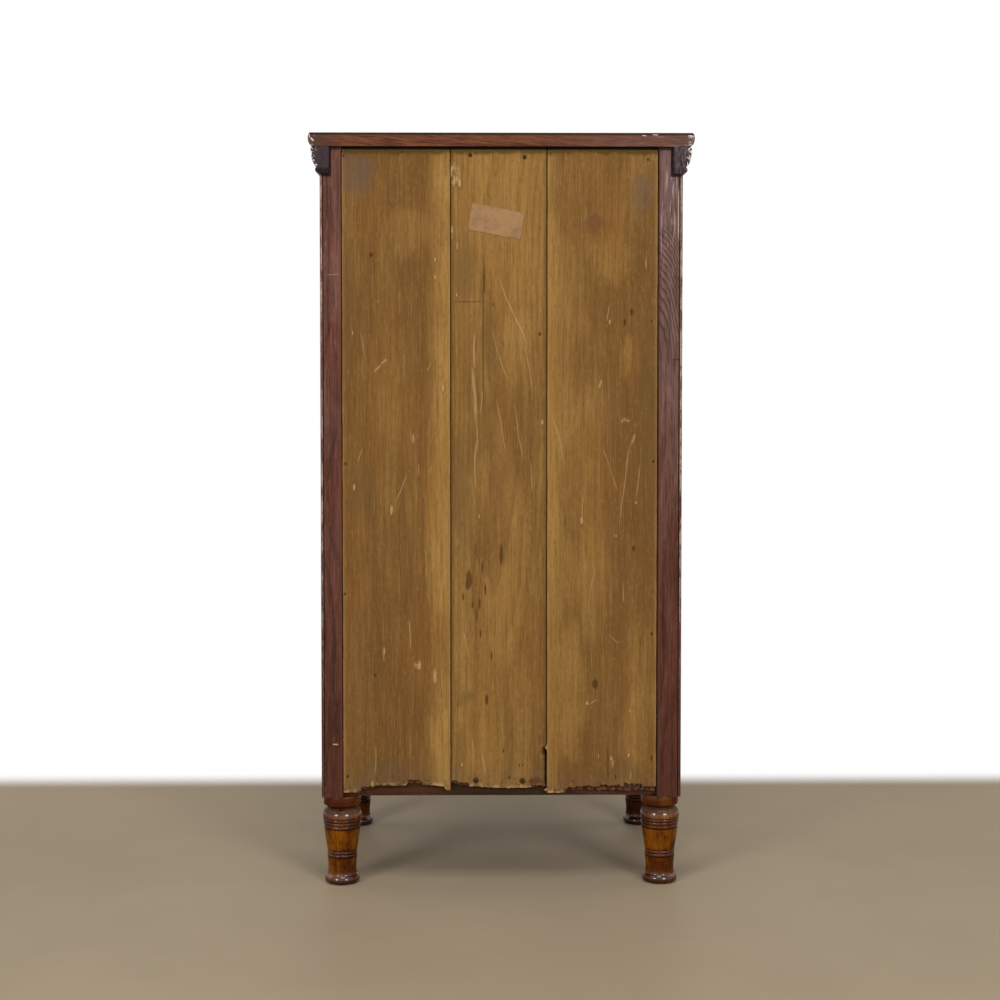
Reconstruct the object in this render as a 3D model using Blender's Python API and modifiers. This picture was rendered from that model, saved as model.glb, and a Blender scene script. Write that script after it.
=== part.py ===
# A wellington chest: a tall framed carcass on turned feet, seven graduated drawers, and a
# hinged stile at the right of the front that laps over the drawers and locks them all.
# Metres, +Z up. The front faces -Y, and left and right are as seen from the front.
# The origin is on the floor, under the middle of the chest's box with the stile standing open.

import math

import bmesh
import bpy

# Overall sizes
CARCASS_WIDTH = 0.584
CARCASS_DEPTH = 0.430
TOTAL_HEIGHT = 1.220
FOOT_HEIGHT = 0.146

# Fits between pieces
GLUE_GAP = 0.0003
DRAWER_SIDE_GAP = 0.0008
DRAWER_TOP_GAP = 0.0015
DRAWER_BACK_GAP = 0.008
STILE_GAP = 0.0006
PIN_GAP = 0.0004

# Top
TOP_THICKNESS = 0.0215
TOP_OVERHANG = 0.018
TOP_BACK_OVERHANG = 0.006
TOP_UPPER_ROUND = 0.004
TOP_LOWER_ROUND = 0.009

# Bed moulding under the overhang of the top
BED_HEIGHT = 0.044
BED_PROJECTION = 0.0135
BED_LET_IN = 0.016
BED_QUIRK = 0.0015
BED_FILLET = 0.004
BED_NECK_PROJECTION = 0.0045
BED_BEAD_RADIUS = 0.0048
BED_BEAD_OFFSET = 0.0017

# Framed sides
PILASTER_WIDTH = 0.054
PILASTER_THICKNESS = 0.022
STILE_OVERLAP = 0.010
FRONT_POST_DEPTH = 0.045
BACK_POST_DEPTH = 0.050
POST_BEAD_RADIUS = 0.0024
POST_QUIRK_WIDTH = 0.0012
POST_QUIRK_DEPTH = 0.0024
PANEL_THICKNESS = 0.014
PANEL_RECESS = 0.008
PANEL_TONGUE = 0.007
FLUTE_COUNT = 2
FLUTE_WIDTH = 0.005
FLUTE_DEPTH = 0.0016
FLUTE_PITCH = 0.022
FLUTE_STOP = 0.030

# Boards of the carcass
BASE_THICKNESS = 0.022
SUB_TOP_THICKNESS = 0.018
DUSTBOARD_THICKNESS = 0.012
DADO_DEPTH = 0.006
BACK_BOARD_THICKNESS = 0.012
BACK_BOARD_RECESS = 0.0015
BACK_BOARD_JOINT = 0.001
BACK_BOARD_LIFT = 0.005
BACK_LIP_LEFT = 0.015
BACK_LIP_RIGHT = 0.010
MIDDLE_BOARD_WIDTH = 0.155
MIDDLE_BOARD_SHIFT = 0.0043

# Ragged lower ends of the back boards: share of the width from the left, rise above the lowest point
RAGGED_ENDS = {
    "left": ((0.0, 0.003), (0.10, 0.005), (0.16, 0.009), (0.45, 0.008), (0.72, 0.010), (0.80, 0.003),
             (1.0, 0.001)),
    "middle": ((0.0, 0.006), (0.35, 0.007), (0.70, 0.006), (1.0, 0.007)),
    "right": ((0.0, 0.004), (0.07, 0.004), (0.10, 0.010), (0.36, 0.010), (0.40, 0.007), (0.70, 0.008),
              (1.0, 0.002)),
}

# Turned feet, from the floor up
FOOT_INSET = 0.031
FOOT_BASE_RADIUS = 0.0215
FOOT_TOE_RADIUS = 0.0282
FOOT_TOE_LEVEL = 0.0065
FOOT_TOE_RISE = 0.0085
FOOT_SHANK_RADIUS = 0.0223
FOOT_SHANK_LEVEL = 0.023
FOOT_ANKLE_RADIUS = 0.0244
FOOT_ANKLE_LEVEL = 0.044
FOOT_REED_HEIGHT = 0.0053
FOOT_REED_DEPTH = 0.0012
FOOT_REED_CREST = (0.25, 0.75)
FOOT_ANKLE_REEDS = 2
FOOT_UPPER_REEDS = 3
FOOT_SWELL_RADIUS = 0.0318
FOOT_SWELL_HEIGHT = 0.0155
FOOT_NECK_RADIUS = 0.0242
FOOT_NECK_HEIGHT = 0.005
FOOT_COLLAR_RADIUS = 0.0302
FOOT_COLLAR_HEIGHT = 0.0165
FOOT_SPIGOT_RADIUS = 0.010
FOOT_SPIGOT_COVER = 0.004

# Drawers
DRAWER_COUNT = 7
DRAWER_STEP = 0.006
DRAWER_FRONT_SET = 0.001
DRAWER_FRONT_THICKNESS = 0.020
DRAWER_SIDE_THICKNESS = 0.010
DRAWER_BACK_THICKNESS = 0.009
DRAWER_BOTTOM_THICKNESS = 0.007
DRAWER_BOTTOM_LIFT = 0.006
DRAWER_SIDE_DROP = 0.006

# Turned knobs
KNOB_OFFSET = 0.140
KNOB_SPIGOT_RADIUS = 0.006
KNOB_SPIGOT_COVER = 0.002
KNOB_ROSE_RADIUS = 0.0145
KNOB_ROSE_HEIGHT = 0.003
KNOB_NECK_RADIUS = 0.0085
KNOB_NECK_LEVEL = 0.010
KNOB_HEAD_RADIUS = 0.019
KNOB_HEAD_LEVEL = 0.020
KNOB_LENGTH = 0.029

# Pivots of the stile
PIVOT_RADIUS = 0.004
PIVOT_SOCKET = 0.012
PIVOT_REACH = 0.014

# Lock in the stile
LOCK_WIDTH = 0.030
LOCK_LENGTH = 0.060
LOCK_DEPTH = 0.0135
LOCK_CENTRE = 0.020
TONGUE_CENTRE = 0.024
BOLT_SIZE = 0.004
BOLT_LENGTH = 0.024
BOLT_THROW = 0.008
TONGUE_WIDTH = 0.011
TONGUE_LENGTH = 0.010
TONGUE_THICKNESS = 0.003
TONGUE_EYE_GAP = 0.0007
TONGUE_SLOT_GAP = 0.0008
TONGUE_SWING = 0.005
STRIKER_WIDTH = 0.014
STRIKER_LENGTH = 0.040
STRIKER_THICKNESS = 0.003
KEYHOLE_RADIUS = 0.0026
KEYHOLE_WIDTH = 0.0024
KEYHOLE_DROP = 0.008
KEYHOLE_LEVEL = 0.014

# The stile rests swung open by this angle, so that the drawers are free
STILE_REST_ANGLE = math.radians(90)

# How far a cutter runs past the face that it opens
CUT_MARGIN = 0.010

# Fineness of the facets: steps round a turned piece and along a curve of a section
FOOT_STEPS = 20
FOOT_CURVE_STEPS = 4
KNOB_STEPS = 16
KNOB_CURVE_STEPS = 4
PIVOT_STEPS = 16
FLUTE_STEPS = 10
MOULDING_STEPS = 6
PILASTER_EDGE_STEPS = 8
NOSE_STEPS = 4

# Points nearer than this are one point, and faces flatter than this are one face
MERGE_DISTANCE = 0.00001
FLAT_ANGLE = 0.001

# Places worked out from the sizes
HALF_WIDTH = CARCASS_WIDTH / 2
STILE_THICKNESS = PILASTER_THICKNESS - STILE_GAP
FRONT_REACH = max(TOP_OVERHANG, PILASTER_WIDTH - STILE_THICKNESS)
FRONT_Y = (FRONT_REACH - CARCASS_DEPTH - TOP_BACK_OVERHANG) / 2
POST_FRONT_Y = FRONT_Y + PILASTER_THICKNESS
BACK_Y = FRONT_Y + CARCASS_DEPTH
BACK_BOARD_INNER_Y = BACK_Y - BACK_BOARD_RECESS - BACK_BOARD_THICKNESS
TOP_UNDER_Z = TOTAL_HEIGHT - TOP_THICKNESS
BED_UNDER_Z = TOP_UNDER_Z - BED_HEIGHT
BASE_TOP_Z = FOOT_HEIGHT + BASE_THICKNESS
LEFT_POST_INNER_X = -HALF_WIDTH + PILASTER_WIDTH
RIGHT_POST_INNER_X = HALF_WIDTH - PILASTER_WIDTH + STILE_OVERLAP
PIVOT_X = HALF_WIDTH - STILE_THICKNESS / 2
PIVOT_Y = FRONT_Y + STILE_THICKNESS / 2
STILE_BOTTOM_Z = BASE_TOP_Z + STILE_GAP
STILE_TOP_Z = BED_UNDER_Z - STILE_GAP
LOCK_Z = (STILE_BOTTOM_Z + STILE_TOP_Z) / 2
SPIGOT_LENGTH = BASE_THICKNESS - FOOT_SPIGOT_COVER
DRAWER_SPACE = BED_UNDER_Z - BASE_TOP_Z - (DRAWER_COUNT - 1) * DUSTBOARD_THICKNESS
TOP_DRAWER_SPACE = DRAWER_SPACE / DRAWER_COUNT - DRAWER_STEP * (DRAWER_COUNT - 1) / 2


# Scene and finishes

def clear_scene():
    for item in list(bpy.data.objects):
        bpy.data.objects.remove(item, do_unlink=True)


def new_collection(name):
    collection = bpy.data.collections.new(name)
    bpy.context.scene.collection.children.link(collection)
    return collection


def finish(name, colour, roughness, metallic=0.0):
    material = bpy.data.materials.new(name)
    material.use_nodes = True
    shader = material.node_tree.nodes["Principled BSDF"]
    shader.inputs["Base Color"].default_value = (*colour, 1.0)
    shader.inputs["Roughness"].default_value = roughness
    shader.inputs["Metallic"].default_value = metallic
    return material


clear_scene()
PIECES = new_collection("wellington_chest")
CUTTERS = new_collection("cutters")
STAINED_OAK = finish("stained_oak", (0.155, 0.055, 0.030), 0.42)
POLISHED_FOOT = finish("polished_foot", (0.210, 0.088, 0.025), 0.28)
BACK_PINE = finish("back_pine", (0.300, 0.185, 0.070), 0.62)
DRAWER_PINE = finish("drawer_pine", (0.480, 0.320, 0.170), 0.65)
BRASS = finish("brass", (0.560, 0.390, 0.160), 0.35, 1.0)
LOCK_IRON = finish("lock_iron", (0.230, 0.220, 0.210), 0.45, 1.0)


# Modelling helpers

def place(name, mesh, location, material, parent=None, rotation=(0.0, 0.0, 0.0)):
    piece = bpy.data.objects.new(name, mesh)
    piece.location = location
    piece.rotation_euler = rotation
    piece.parent = parent
    if material is None:
        piece.hide_render = True
        piece.display_type = "WIRE"
        CUTTERS.objects.link(piece)
    else:
        mesh.materials.clear()
        mesh.materials.append(material)
        PIECES.objects.link(piece)
    return piece


def empty(name, location):
    holder = bpy.data.objects.new(name, None)
    holder.location = location
    PIECES.objects.link(holder)
    return holder


def box(name, low, high, material, parent=None):
    size = [top - bottom for bottom, top in zip(low, high)]
    centre = [(top + bottom) / 2 for bottom, top in zip(low, high)]
    shape = bmesh.new()
    bmesh.ops.create_cube(shape, size=1.0)
    bmesh.ops.scale(shape, vec=size, verts=shape.verts)
    mesh = bpy.data.meshes.new(name)
    shape.to_mesh(mesh)
    shape.free()
    return place(name, mesh, centre, material, parent)


def rod(name, centre, radius, length, steps, material, parent=None, rotation=(0.0, 0.0, 0.0)):
    shape = bmesh.new()
    bmesh.ops.create_cone(shape, cap_ends=True, segments=steps, radius1=radius, radius2=radius,
                          depth=length)
    mesh = bpy.data.meshes.new(name)
    shape.to_mesh(mesh)
    shape.free()
    return place(name, mesh, centre, material, parent, rotation)


def prism(name, outline, length, centre, material, parent=None, rotation=(0.0, 0.0, 0.0)):
    curve = bpy.data.curves.new(name + "_outline", "CURVE")
    curve.dimensions = "2D"
    curve.fill_mode = "BOTH"
    curve.extrude = length / 2
    spline = curve.splines.new("POLY")
    spline.points.add(len(outline) - 1)
    for point, (across, along) in zip(spline.points, outline):
        point.co = (across, along, 0.0, 1.0)
    spline.use_cyclic_u = True
    drawn = bpy.data.objects.new(name + "_outline", curve)
    CUTTERS.objects.link(drawn)
    graph = bpy.context.evaluated_depsgraph_get()
    mesh = bpy.data.meshes.new_from_object(drawn.evaluated_get(graph))
    bpy.data.objects.remove(drawn, do_unlink=True)
    shape = bmesh.new()
    shape.from_mesh(mesh)
    bmesh.ops.remove_doubles(shape, verts=shape.verts, dist=MERGE_DISTANCE)
    bmesh.ops.dissolve_limit(shape, angle_limit=FLAT_ANGLE, verts=shape.verts, edges=shape.edges)
    bmesh.ops.recalc_face_normals(shape, faces=shape.faces)
    shape.to_mesh(mesh)
    shape.free()
    return place(name, mesh, centre, material, parent, rotation)


def turned(name, profile, steps, location, material, parent=None, rotation=(0.0, 0.0, 0.0)):
    mesh = bpy.data.meshes.new(name)
    corners = [(radius, 0.0, level) for radius, level in profile]
    mesh.from_pydata(corners, [(i, i + 1) for i in range(len(corners) - 1)], [])
    piece = place(name, mesh, location, material, parent, rotation)
    lathe = piece.modifiers.new("lathe", "SCREW")
    lathe.axis = "Z"
    lathe.angle = math.tau
    lathe.steps = steps
    lathe.render_steps = steps
    lathe.use_merge_vertices = True
    lathe.merge_threshold = MERGE_DISTANCE
    lathe.use_smooth_shade = True
    return piece


def carve(piece, cutter, operation="DIFFERENCE"):
    tool = piece.modifiers.new(cutter.name, "BOOLEAN")
    tool.operation = operation
    tool.object = cutter


def arc(centre_x, centre_y, radius_x, radius_y, start, end, steps):
    angles = [math.radians(start + (end - start) * i / steps) for i in range(steps + 1)]
    return [(centre_x + radius_x * math.cos(a), centre_y + radius_y * math.sin(a)) for a in angles]


# An outline drawn across and up, swept along Y, and one swept along X
SWEPT_ALONG_Y = (math.pi / 2, 0.0, 0.0)
SWEPT_ALONG_X = (math.pi / 2, 0.0, math.pi / 2)

# A turned piece whose top points to the front
POINTING_FORWARD = (math.pi / 2, 0.0, 0.0)


# Top

def round_nose(shape, level, radius, back):
    def on_level(corner):
        return abs(corner.co.z - level) < GLUE_GAP

    def at_back(corner):
        return abs(corner.co.y - back) < GLUE_GAP

    edges = [edge for edge in shape.edges
             if all(on_level(corner) for corner in edge.verts)
             and not all(at_back(corner) for corner in edge.verts)]
    bmesh.ops.bevel(shape, geom=edges, offset=radius, segments=NOSE_STEPS, profile=0.5, affect="EDGES")


def make_top():
    low = (-HALF_WIDTH - TOP_OVERHANG, FRONT_Y - TOP_OVERHANG, TOP_UNDER_Z)
    high = (HALF_WIDTH + TOP_OVERHANG, BACK_Y + TOP_BACK_OVERHANG, TOTAL_HEIGHT)
    slab = box("top", low, high, STAINED_OAK)
    back = (high[1] - low[1]) / 2
    shape = bmesh.new()
    shape.from_mesh(slab.data)
    round_nose(shape, -TOP_THICKNESS / 2, TOP_LOWER_ROUND, back)
    round_nose(shape, TOP_THICKNESS / 2, TOP_UPPER_ROUND, back)
    shape.to_mesh(slab.data)
    shape.free()


# Bed moulding, three lengths mitred at the front corners

def bed_outline(depth):
    bead_level = BED_UNDER_Z + BED_BEAD_RADIUS + BED_QUIRK
    ovolo_top = TOP_UNDER_Z - GLUE_GAP - BED_FILLET
    ovolo_height = ovolo_top - bead_level - BED_BEAD_RADIUS - BED_QUIRK
    ovolo_depth = BED_PROJECTION - BED_NECK_PROJECTION
    inner = BED_PROJECTION - BED_QUIRK
    steps = MOULDING_STEPS
    outline = [(-depth, BED_UNDER_Z), (-depth, TOP_UNDER_Z - GLUE_GAP)]
    outline += [(inner, TOP_UNDER_Z - GLUE_GAP), (inner, ovolo_top)]
    outline += arc(BED_NECK_PROJECTION, ovolo_top, ovolo_depth, ovolo_height, 0, -90, steps)
    outline += arc(BED_BEAD_OFFSET, bead_level, BED_BEAD_RADIUS, BED_BEAD_RADIUS, 90, -90, steps)
    outline += [(BED_BEAD_OFFSET, BED_UNDER_Z)]
    return outline


def mitre_plan(name, grow):
    reach = BED_PROJECTION + CUT_MARGIN
    side = HALF_WIDTH + grow
    back = POST_FRONT_Y - GLUE_GAP + grow
    plan = [(-side - reach, FRONT_Y - reach), (side + reach, FRONT_Y - reach), (side, FRONT_Y),
            (side, back), (-side, back), (-side, FRONT_Y)]
    height = BED_HEIGHT + 2 * CUT_MARGIN
    return prism(name, plan, height, (0.0, 0.0, BED_UNDER_Z + BED_HEIGHT / 2), None)


def make_bed_moulding():
    front_plan = mitre_plan("front_moulding_plan", 0.0)
    side_plan = mitre_plan("side_moulding_plan", GLUE_GAP)
    front_outline = [(FRONT_Y - out, level) for out, level in bed_outline(PILASTER_THICKNESS - GLUE_GAP)]
    front_length = CARCASS_WIDTH + 2 * (BED_PROJECTION + CUT_MARGIN)
    front = prism("bed_moulding_front", front_outline, front_length, (0.0, 0.0, 0.0), STAINED_OAK,
                  rotation=SWEPT_ALONG_X)
    carve(front, front_plan, "INTERSECT")
    start = FRONT_Y - BED_PROJECTION - CUT_MARGIN
    end = BACK_Y + TOP_BACK_OVERHANG
    for hand, sign in (("left", -1), ("right", 1)):
        outline = [(sign * (HALF_WIDTH + out), level) for out, level in bed_outline(BED_LET_IN - GLUE_GAP)]
        length = prism("bed_moulding_" + hand, outline, end - start, (0.0, (start + end) / 2, 0.0),
                       STAINED_OAK, rotation=SWEPT_ALONG_Y)
        carve(length, side_plan)
    return front


def make_bed_rebates():
    rebates = {}
    for hand, sign in (("left", -1), ("right", 1)):
        across = sorted((sign * (HALF_WIDTH - BED_LET_IN), sign * (HALF_WIDTH + CUT_MARGIN)))
        low = (across[0], FRONT_Y - CUT_MARGIN, BED_UNDER_Z - GLUE_GAP)
        high = (across[1], BACK_Y + CUT_MARGIN, TOP_UNDER_Z + CUT_MARGIN)
        rebates[hand] = box("bed_rebate_" + hand, low, high, None)
    return rebates


# Posts and panels of the sides

def drawer_levels():
    levels = []
    top = BED_UNDER_Z
    for index in range(DRAWER_COUNT):
        bottom = top - TOP_DRAWER_SPACE - DRAWER_STEP * index
        levels.append((bottom, top))
        top = bottom - DUSTBOARD_THICKNESS
    return levels


def dado_cutter(hand, inner_x, sign):
    shape = bmesh.new()
    across = sorted((inner_x - sign * CUT_MARGIN, inner_x + sign * DADO_DEPTH))
    shelves = [(bottom - DUSTBOARD_THICKNESS, bottom) for bottom, top in drawer_levels()[:-1]]
    shelves.append((BED_UNDER_Z, BED_UNDER_Z + SUB_TOP_THICKNESS))
    depth = CARCASS_DEPTH + 2 * CUT_MARGIN
    for bottom, top in shelves:
        made = bmesh.ops.create_cube(shape, size=1.0)
        size = (across[1] - across[0], depth, top - bottom + 2 * GLUE_GAP)
        centre = ((across[0] + across[1]) / 2, (FRONT_Y + BACK_Y) / 2, (bottom + top) / 2)
        bmesh.ops.scale(shape, vec=size, verts=made["verts"])
        bmesh.ops.translate(shape, vec=centre, verts=made["verts"])
    mesh = bpy.data.meshes.new("dados_" + hand)
    shape.to_mesh(mesh)
    shape.free()
    return place("dados_" + hand, mesh, (0.0, 0.0, 0.0), None)


def back_post_outline(sign, inner_x, lip):
    outer = sign * HALF_WIDTH
    front = BACK_Y - BACK_POST_DEPTH
    bead = POST_BEAD_RADIUS
    panel_out = outer - sign * (PANEL_RECESS - GLUE_GAP)
    panel_in = outer - sign * (PANEL_RECESS + PANEL_THICKNESS + GLUE_GAP)
    quirk_out = outer - sign * 2 * bead
    quirk_in = quirk_out - sign * POST_QUIRK_WIDTH
    corner = [(outer - sign * bead + sign * bead * across, BACK_Y - bead + bead * along)
              for across, along in arc(0.0, 0.0, 1.0, 1.0, 0, 180, MOULDING_STEPS)]
    rebate_y = BACK_BOARD_INNER_Y - GLUE_GAP
    lip_x = inner_x + sign * lip
    outline = [(outer, front)]
    outline += corner
    outline += [(quirk_out, BACK_Y - POST_QUIRK_DEPTH - bead), (quirk_in, BACK_Y)]
    outline += [(lip_x, BACK_Y), (lip_x, rebate_y), (inner_x, rebate_y), (inner_x, front)]
    outline += [(panel_in, front), (panel_in, front + PANEL_TONGUE + GLUE_GAP)]
    outline += [(panel_out, front + PANEL_TONGUE + GLUE_GAP), (panel_out, front)]
    return outline


def front_post_outline(sign, inner_x):
    outer = sign * HALF_WIDTH
    back = POST_FRONT_Y + FRONT_POST_DEPTH
    panel_out = outer - sign * (PANEL_RECESS - GLUE_GAP)
    panel_in = outer - sign * (PANEL_RECESS + PANEL_THICKNESS + GLUE_GAP)
    groove = back - PANEL_TONGUE - GLUE_GAP
    return [(outer, POST_FRONT_Y), (outer, back), (panel_out, back), (panel_out, groove),
            (panel_in, groove), (panel_in, back), (inner_x, back), (inner_x, POST_FRONT_Y)]


def make_sides(bed_rebates):
    posts = {}
    hands = (("left", -1, LEFT_POST_INNER_X, BACK_LIP_LEFT),
             ("right", 1, RIGHT_POST_INNER_X, BACK_LIP_RIGHT))
    for hand, sign, inner_x, lip in hands:
        dados = dado_cutter(hand, inner_x, sign)
        top = TOP_UNDER_Z - GLUE_GAP
        stands = (("front_post_", front_post_outline(sign, inner_x), BASE_TOP_Z + GLUE_GAP),
                  ("back_post_", back_post_outline(sign, inner_x, lip), FOOT_HEIGHT))
        for name, outline, bottom in stands:
            centre = (0.0, 0.0, (bottom + top) / 2)
            post = prism(name + hand, outline, top - bottom, centre, STAINED_OAK)
            carve(post, dados)
            carve(post, bed_rebates[hand])
            posts[name + hand] = post
        panel_face = HALF_WIDTH - PANEL_RECESS
        across = sorted((sign * panel_face, sign * (panel_face - PANEL_THICKNESS)))
        low = (across[0], POST_FRONT_Y + FRONT_POST_DEPTH - PANEL_TONGUE, BASE_TOP_Z + GLUE_GAP)
        high = (across[1], BACK_Y - BACK_POST_DEPTH + PANEL_TONGUE, top)
        panel = box("side_panel_" + hand, low, high, STAINED_OAK)
        carve(panel, bed_rebates[hand])
    return posts


# Boards inside the carcass

def make_base_board():
    back = BACK_BOARD_INNER_Y - GLUE_GAP
    notch = BACK_Y - BACK_POST_DEPTH - GLUE_GAP
    left = LEFT_POST_INNER_X + GLUE_GAP
    right = RIGHT_POST_INNER_X - GLUE_GAP
    outline = [(-HALF_WIDTH, FRONT_Y), (HALF_WIDTH, FRONT_Y), (HALF_WIDTH, notch), (right, notch),
               (right, back), (left, back), (left, notch), (-HALF_WIDTH, notch)]
    centre = (0.0, 0.0, FOOT_HEIGHT + BASE_THICKNESS / 2)
    return prism("base_board", outline, BASE_THICKNESS, centre, STAINED_OAK)


def make_shelf(name, bottom, top, front, material):
    low = (LEFT_POST_INNER_X - DADO_DEPTH + GLUE_GAP, front, bottom)
    high = (RIGHT_POST_INNER_X + DADO_DEPTH - GLUE_GAP, BACK_BOARD_INNER_Y - GLUE_GAP, top)
    box(name, low, high, material)


def make_shelves():
    front = POST_FRONT_Y + DRAWER_FRONT_SET
    make_shelf("sub_top", BED_UNDER_Z, BED_UNDER_Z + SUB_TOP_THICKNESS, front, DRAWER_PINE)
    for number, (bottom, top) in enumerate(drawer_levels()[:-1], start=1):
        make_shelf("dustboard_" + str(number), bottom - DUSTBOARD_THICKNESS, bottom, front, STAINED_OAK)


def make_back_boards():
    left_joint = MIDDLE_BOARD_SHIFT - MIDDLE_BOARD_WIDTH / 2
    right_joint = MIDDLE_BOARD_SHIFT + MIDDLE_BOARD_WIDTH / 2
    spans = {
        "left": (LEFT_POST_INNER_X - BACK_LIP_LEFT + BACK_BOARD_JOINT, left_joint - BACK_BOARD_JOINT),
        "middle": (left_joint, right_joint),
        "right": (right_joint + BACK_BOARD_JOINT, RIGHT_POST_INNER_X + BACK_LIP_RIGHT - BACK_BOARD_JOINT),
    }
    top = TOP_UNDER_Z - GLUE_GAP
    lowest = FOOT_HEIGHT + BACK_BOARD_LIFT
    middle_y = BACK_BOARD_INNER_Y + BACK_BOARD_THICKNESS / 2
    for hand, (start, end) in spans.items():
        outline = [(start + share * (end - start), lowest + rise) for share, rise in RAGGED_ENDS[hand]]
        outline += [(end, top), (start, top)]
        prism("back_board_" + hand, outline, BACK_BOARD_THICKNESS, (0.0, middle_y, 0.0), BACK_PINE,
              rotation=SWEPT_ALONG_Y)


# Turned feet

def reeds(count, top_radius, top_level, slope):
    ring = []
    for index in range(count):
        start = top_level - index * FOOT_REED_HEIGHT
        for share in FOOT_REED_CREST:
            level = start - share * FOOT_REED_HEIGHT
            ring.append((top_radius + slope * (level - top_level), level))
        groove = start - FOOT_REED_HEIGHT
        ring.append((top_radius + slope * (groove - top_level) - FOOT_REED_DEPTH, groove))
    return ring


def foot_profile():
    spigot_top = FOOT_HEIGHT - GLUE_GAP + SPIGOT_LENGTH
    collar_top = FOOT_HEIGHT - GLUE_GAP
    collar_bottom = FOOT_HEIGHT - FOOT_COLLAR_HEIGHT
    neck_bottom = collar_bottom - FOOT_NECK_HEIGHT
    swell_bottom = neck_bottom - FOOT_SWELL_HEIGHT
    ankle_top = FOOT_ANKLE_LEVEL + FOOT_ANKLE_REEDS * FOOT_REED_HEIGHT
    slope = (FOOT_SWELL_RADIUS - FOOT_ANKLE_RADIUS) / (swell_bottom - ankle_top)
    profile = [(0.0, spigot_top), (FOOT_SPIGOT_RADIUS, spigot_top), (FOOT_SPIGOT_RADIUS, collar_top)]
    profile += [(FOOT_COLLAR_RADIUS, collar_top), (FOOT_COLLAR_RADIUS, collar_bottom)]
    neck = FOOT_NECK_RADIUS
    steps = FOOT_CURVE_STEPS
    profile += arc(neck, collar_bottom, FOOT_COLLAR_RADIUS - neck, FOOT_NECK_HEIGHT, -30, -90, steps)
    profile += arc(neck, swell_bottom, FOOT_SWELL_RADIUS - neck, FOOT_SWELL_HEIGHT, 75, 0, steps)
    profile += [(FOOT_SWELL_RADIUS - FOOT_REED_DEPTH, swell_bottom - FOOT_REED_DEPTH)]
    profile += reeds(FOOT_UPPER_REEDS, FOOT_SWELL_RADIUS, swell_bottom - FOOT_REED_DEPTH, slope)
    taper_top = swell_bottom - FOOT_REED_DEPTH * 2 - FOOT_UPPER_REEDS * FOOT_REED_HEIGHT
    profile += [(FOOT_SWELL_RADIUS + slope * (taper_top - swell_bottom), taper_top)]
    profile += [(FOOT_ANKLE_RADIUS, ankle_top + FOOT_REED_DEPTH)]
    profile += [(FOOT_ANKLE_RADIUS - FOOT_REED_DEPTH, ankle_top)]
    profile += reeds(FOOT_ANKLE_REEDS, FOOT_ANKLE_RADIUS, ankle_top, 0.0)
    profile += [(FOOT_ANKLE_RADIUS, FOOT_ANKLE_LEVEL - FOOT_REED_DEPTH)]
    profile += [(FOOT_SHANK_RADIUS, FOOT_SHANK_LEVEL)]
    toe = FOOT_TOE_RADIUS - FOOT_BASE_RADIUS
    profile += arc(FOOT_BASE_RADIUS, FOOT_TOE_LEVEL, toe, FOOT_TOE_RISE, 60, 0, steps)
    profile += arc(FOOT_BASE_RADIUS, FOOT_TOE_LEVEL, toe, FOOT_TOE_LEVEL, -20, -90, steps)
    profile += [(0.0, 0.0)]
    return profile


def make_feet(base_board, posts):
    front_y = FRONT_Y + FOOT_INSET
    back_y = BACK_Y - FOOT_INSET
    across = HALF_WIDTH - FOOT_INSET
    profile = foot_profile()
    for end, y, carriers in (("front", front_y, (base_board, base_board)),
                             ("back", back_y, (posts["back_post_left"], posts["back_post_right"]))):
        for hand, x, carrier in (("left", -across, carriers[0]), ("right", across, carriers[1])):
            name = "foot_" + end + "_" + hand
            turned(name, profile, FOOT_STEPS, (x, y, 0.0), POLISHED_FOOT)
            bore_length = SPIGOT_LENGTH + CUT_MARGIN
            centre = (x, y, FOOT_HEIGHT + SPIGOT_LENGTH - bore_length / 2)
            bore = rod(name + "_bore", centre, FOOT_SPIGOT_RADIUS + PIN_GAP, bore_length, FOOT_STEPS, None)
            carve(carrier, bore)


# Pilaster and stile share one section with a round outer edge, and stopped flutes on the face

def pilaster_outline(sign):
    half = STILE_THICKNESS / 2
    inner = PILASTER_WIDTH - half
    outline = arc(0.0, 0.0, half, half, 90, -90, PILASTER_EDGE_STEPS)
    outline += [(-inner, -half), (-inner, half)]
    return [(sign * across, along) for across, along in outline]


def carve_flutes(piece, sign, length, parent=None):
    middle = (STILE_THICKNESS - PILASTER_WIDTH) / 2
    face = -STILE_THICKNESS / 2
    last = 360 - 360 / FLUTE_STEPS
    for index in range(FLUTE_COUNT):
        across = sign * (middle + FLUTE_PITCH * ((FLUTE_COUNT - 1) / 2 - index))
        outline = arc(across, face, FLUTE_WIDTH / 2, FLUTE_DEPTH, 0, last, FLUTE_STEPS - 1)
        name = piece.name + "_flute_" + str(index + 1)
        flute = prism(name, outline, length - 2 * FLUTE_STOP, piece.location, None, parent)
        carve(piece, flute)


def make_fixed_pilaster():
    bottom = BASE_TOP_Z + GLUE_GAP
    top = BED_UNDER_Z - GLUE_GAP
    backing_gap = POST_FRONT_Y - GLUE_GAP - PIVOT_Y - STILE_THICKNESS / 2
    centre = (-PIVOT_X, PIVOT_Y + backing_gap, (bottom + top) / 2)
    pilaster = prism("fixed_pilaster", pilaster_outline(-1), top - bottom, centre, STAINED_OAK)
    carve_flutes(pilaster, -1, top - bottom)


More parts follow.
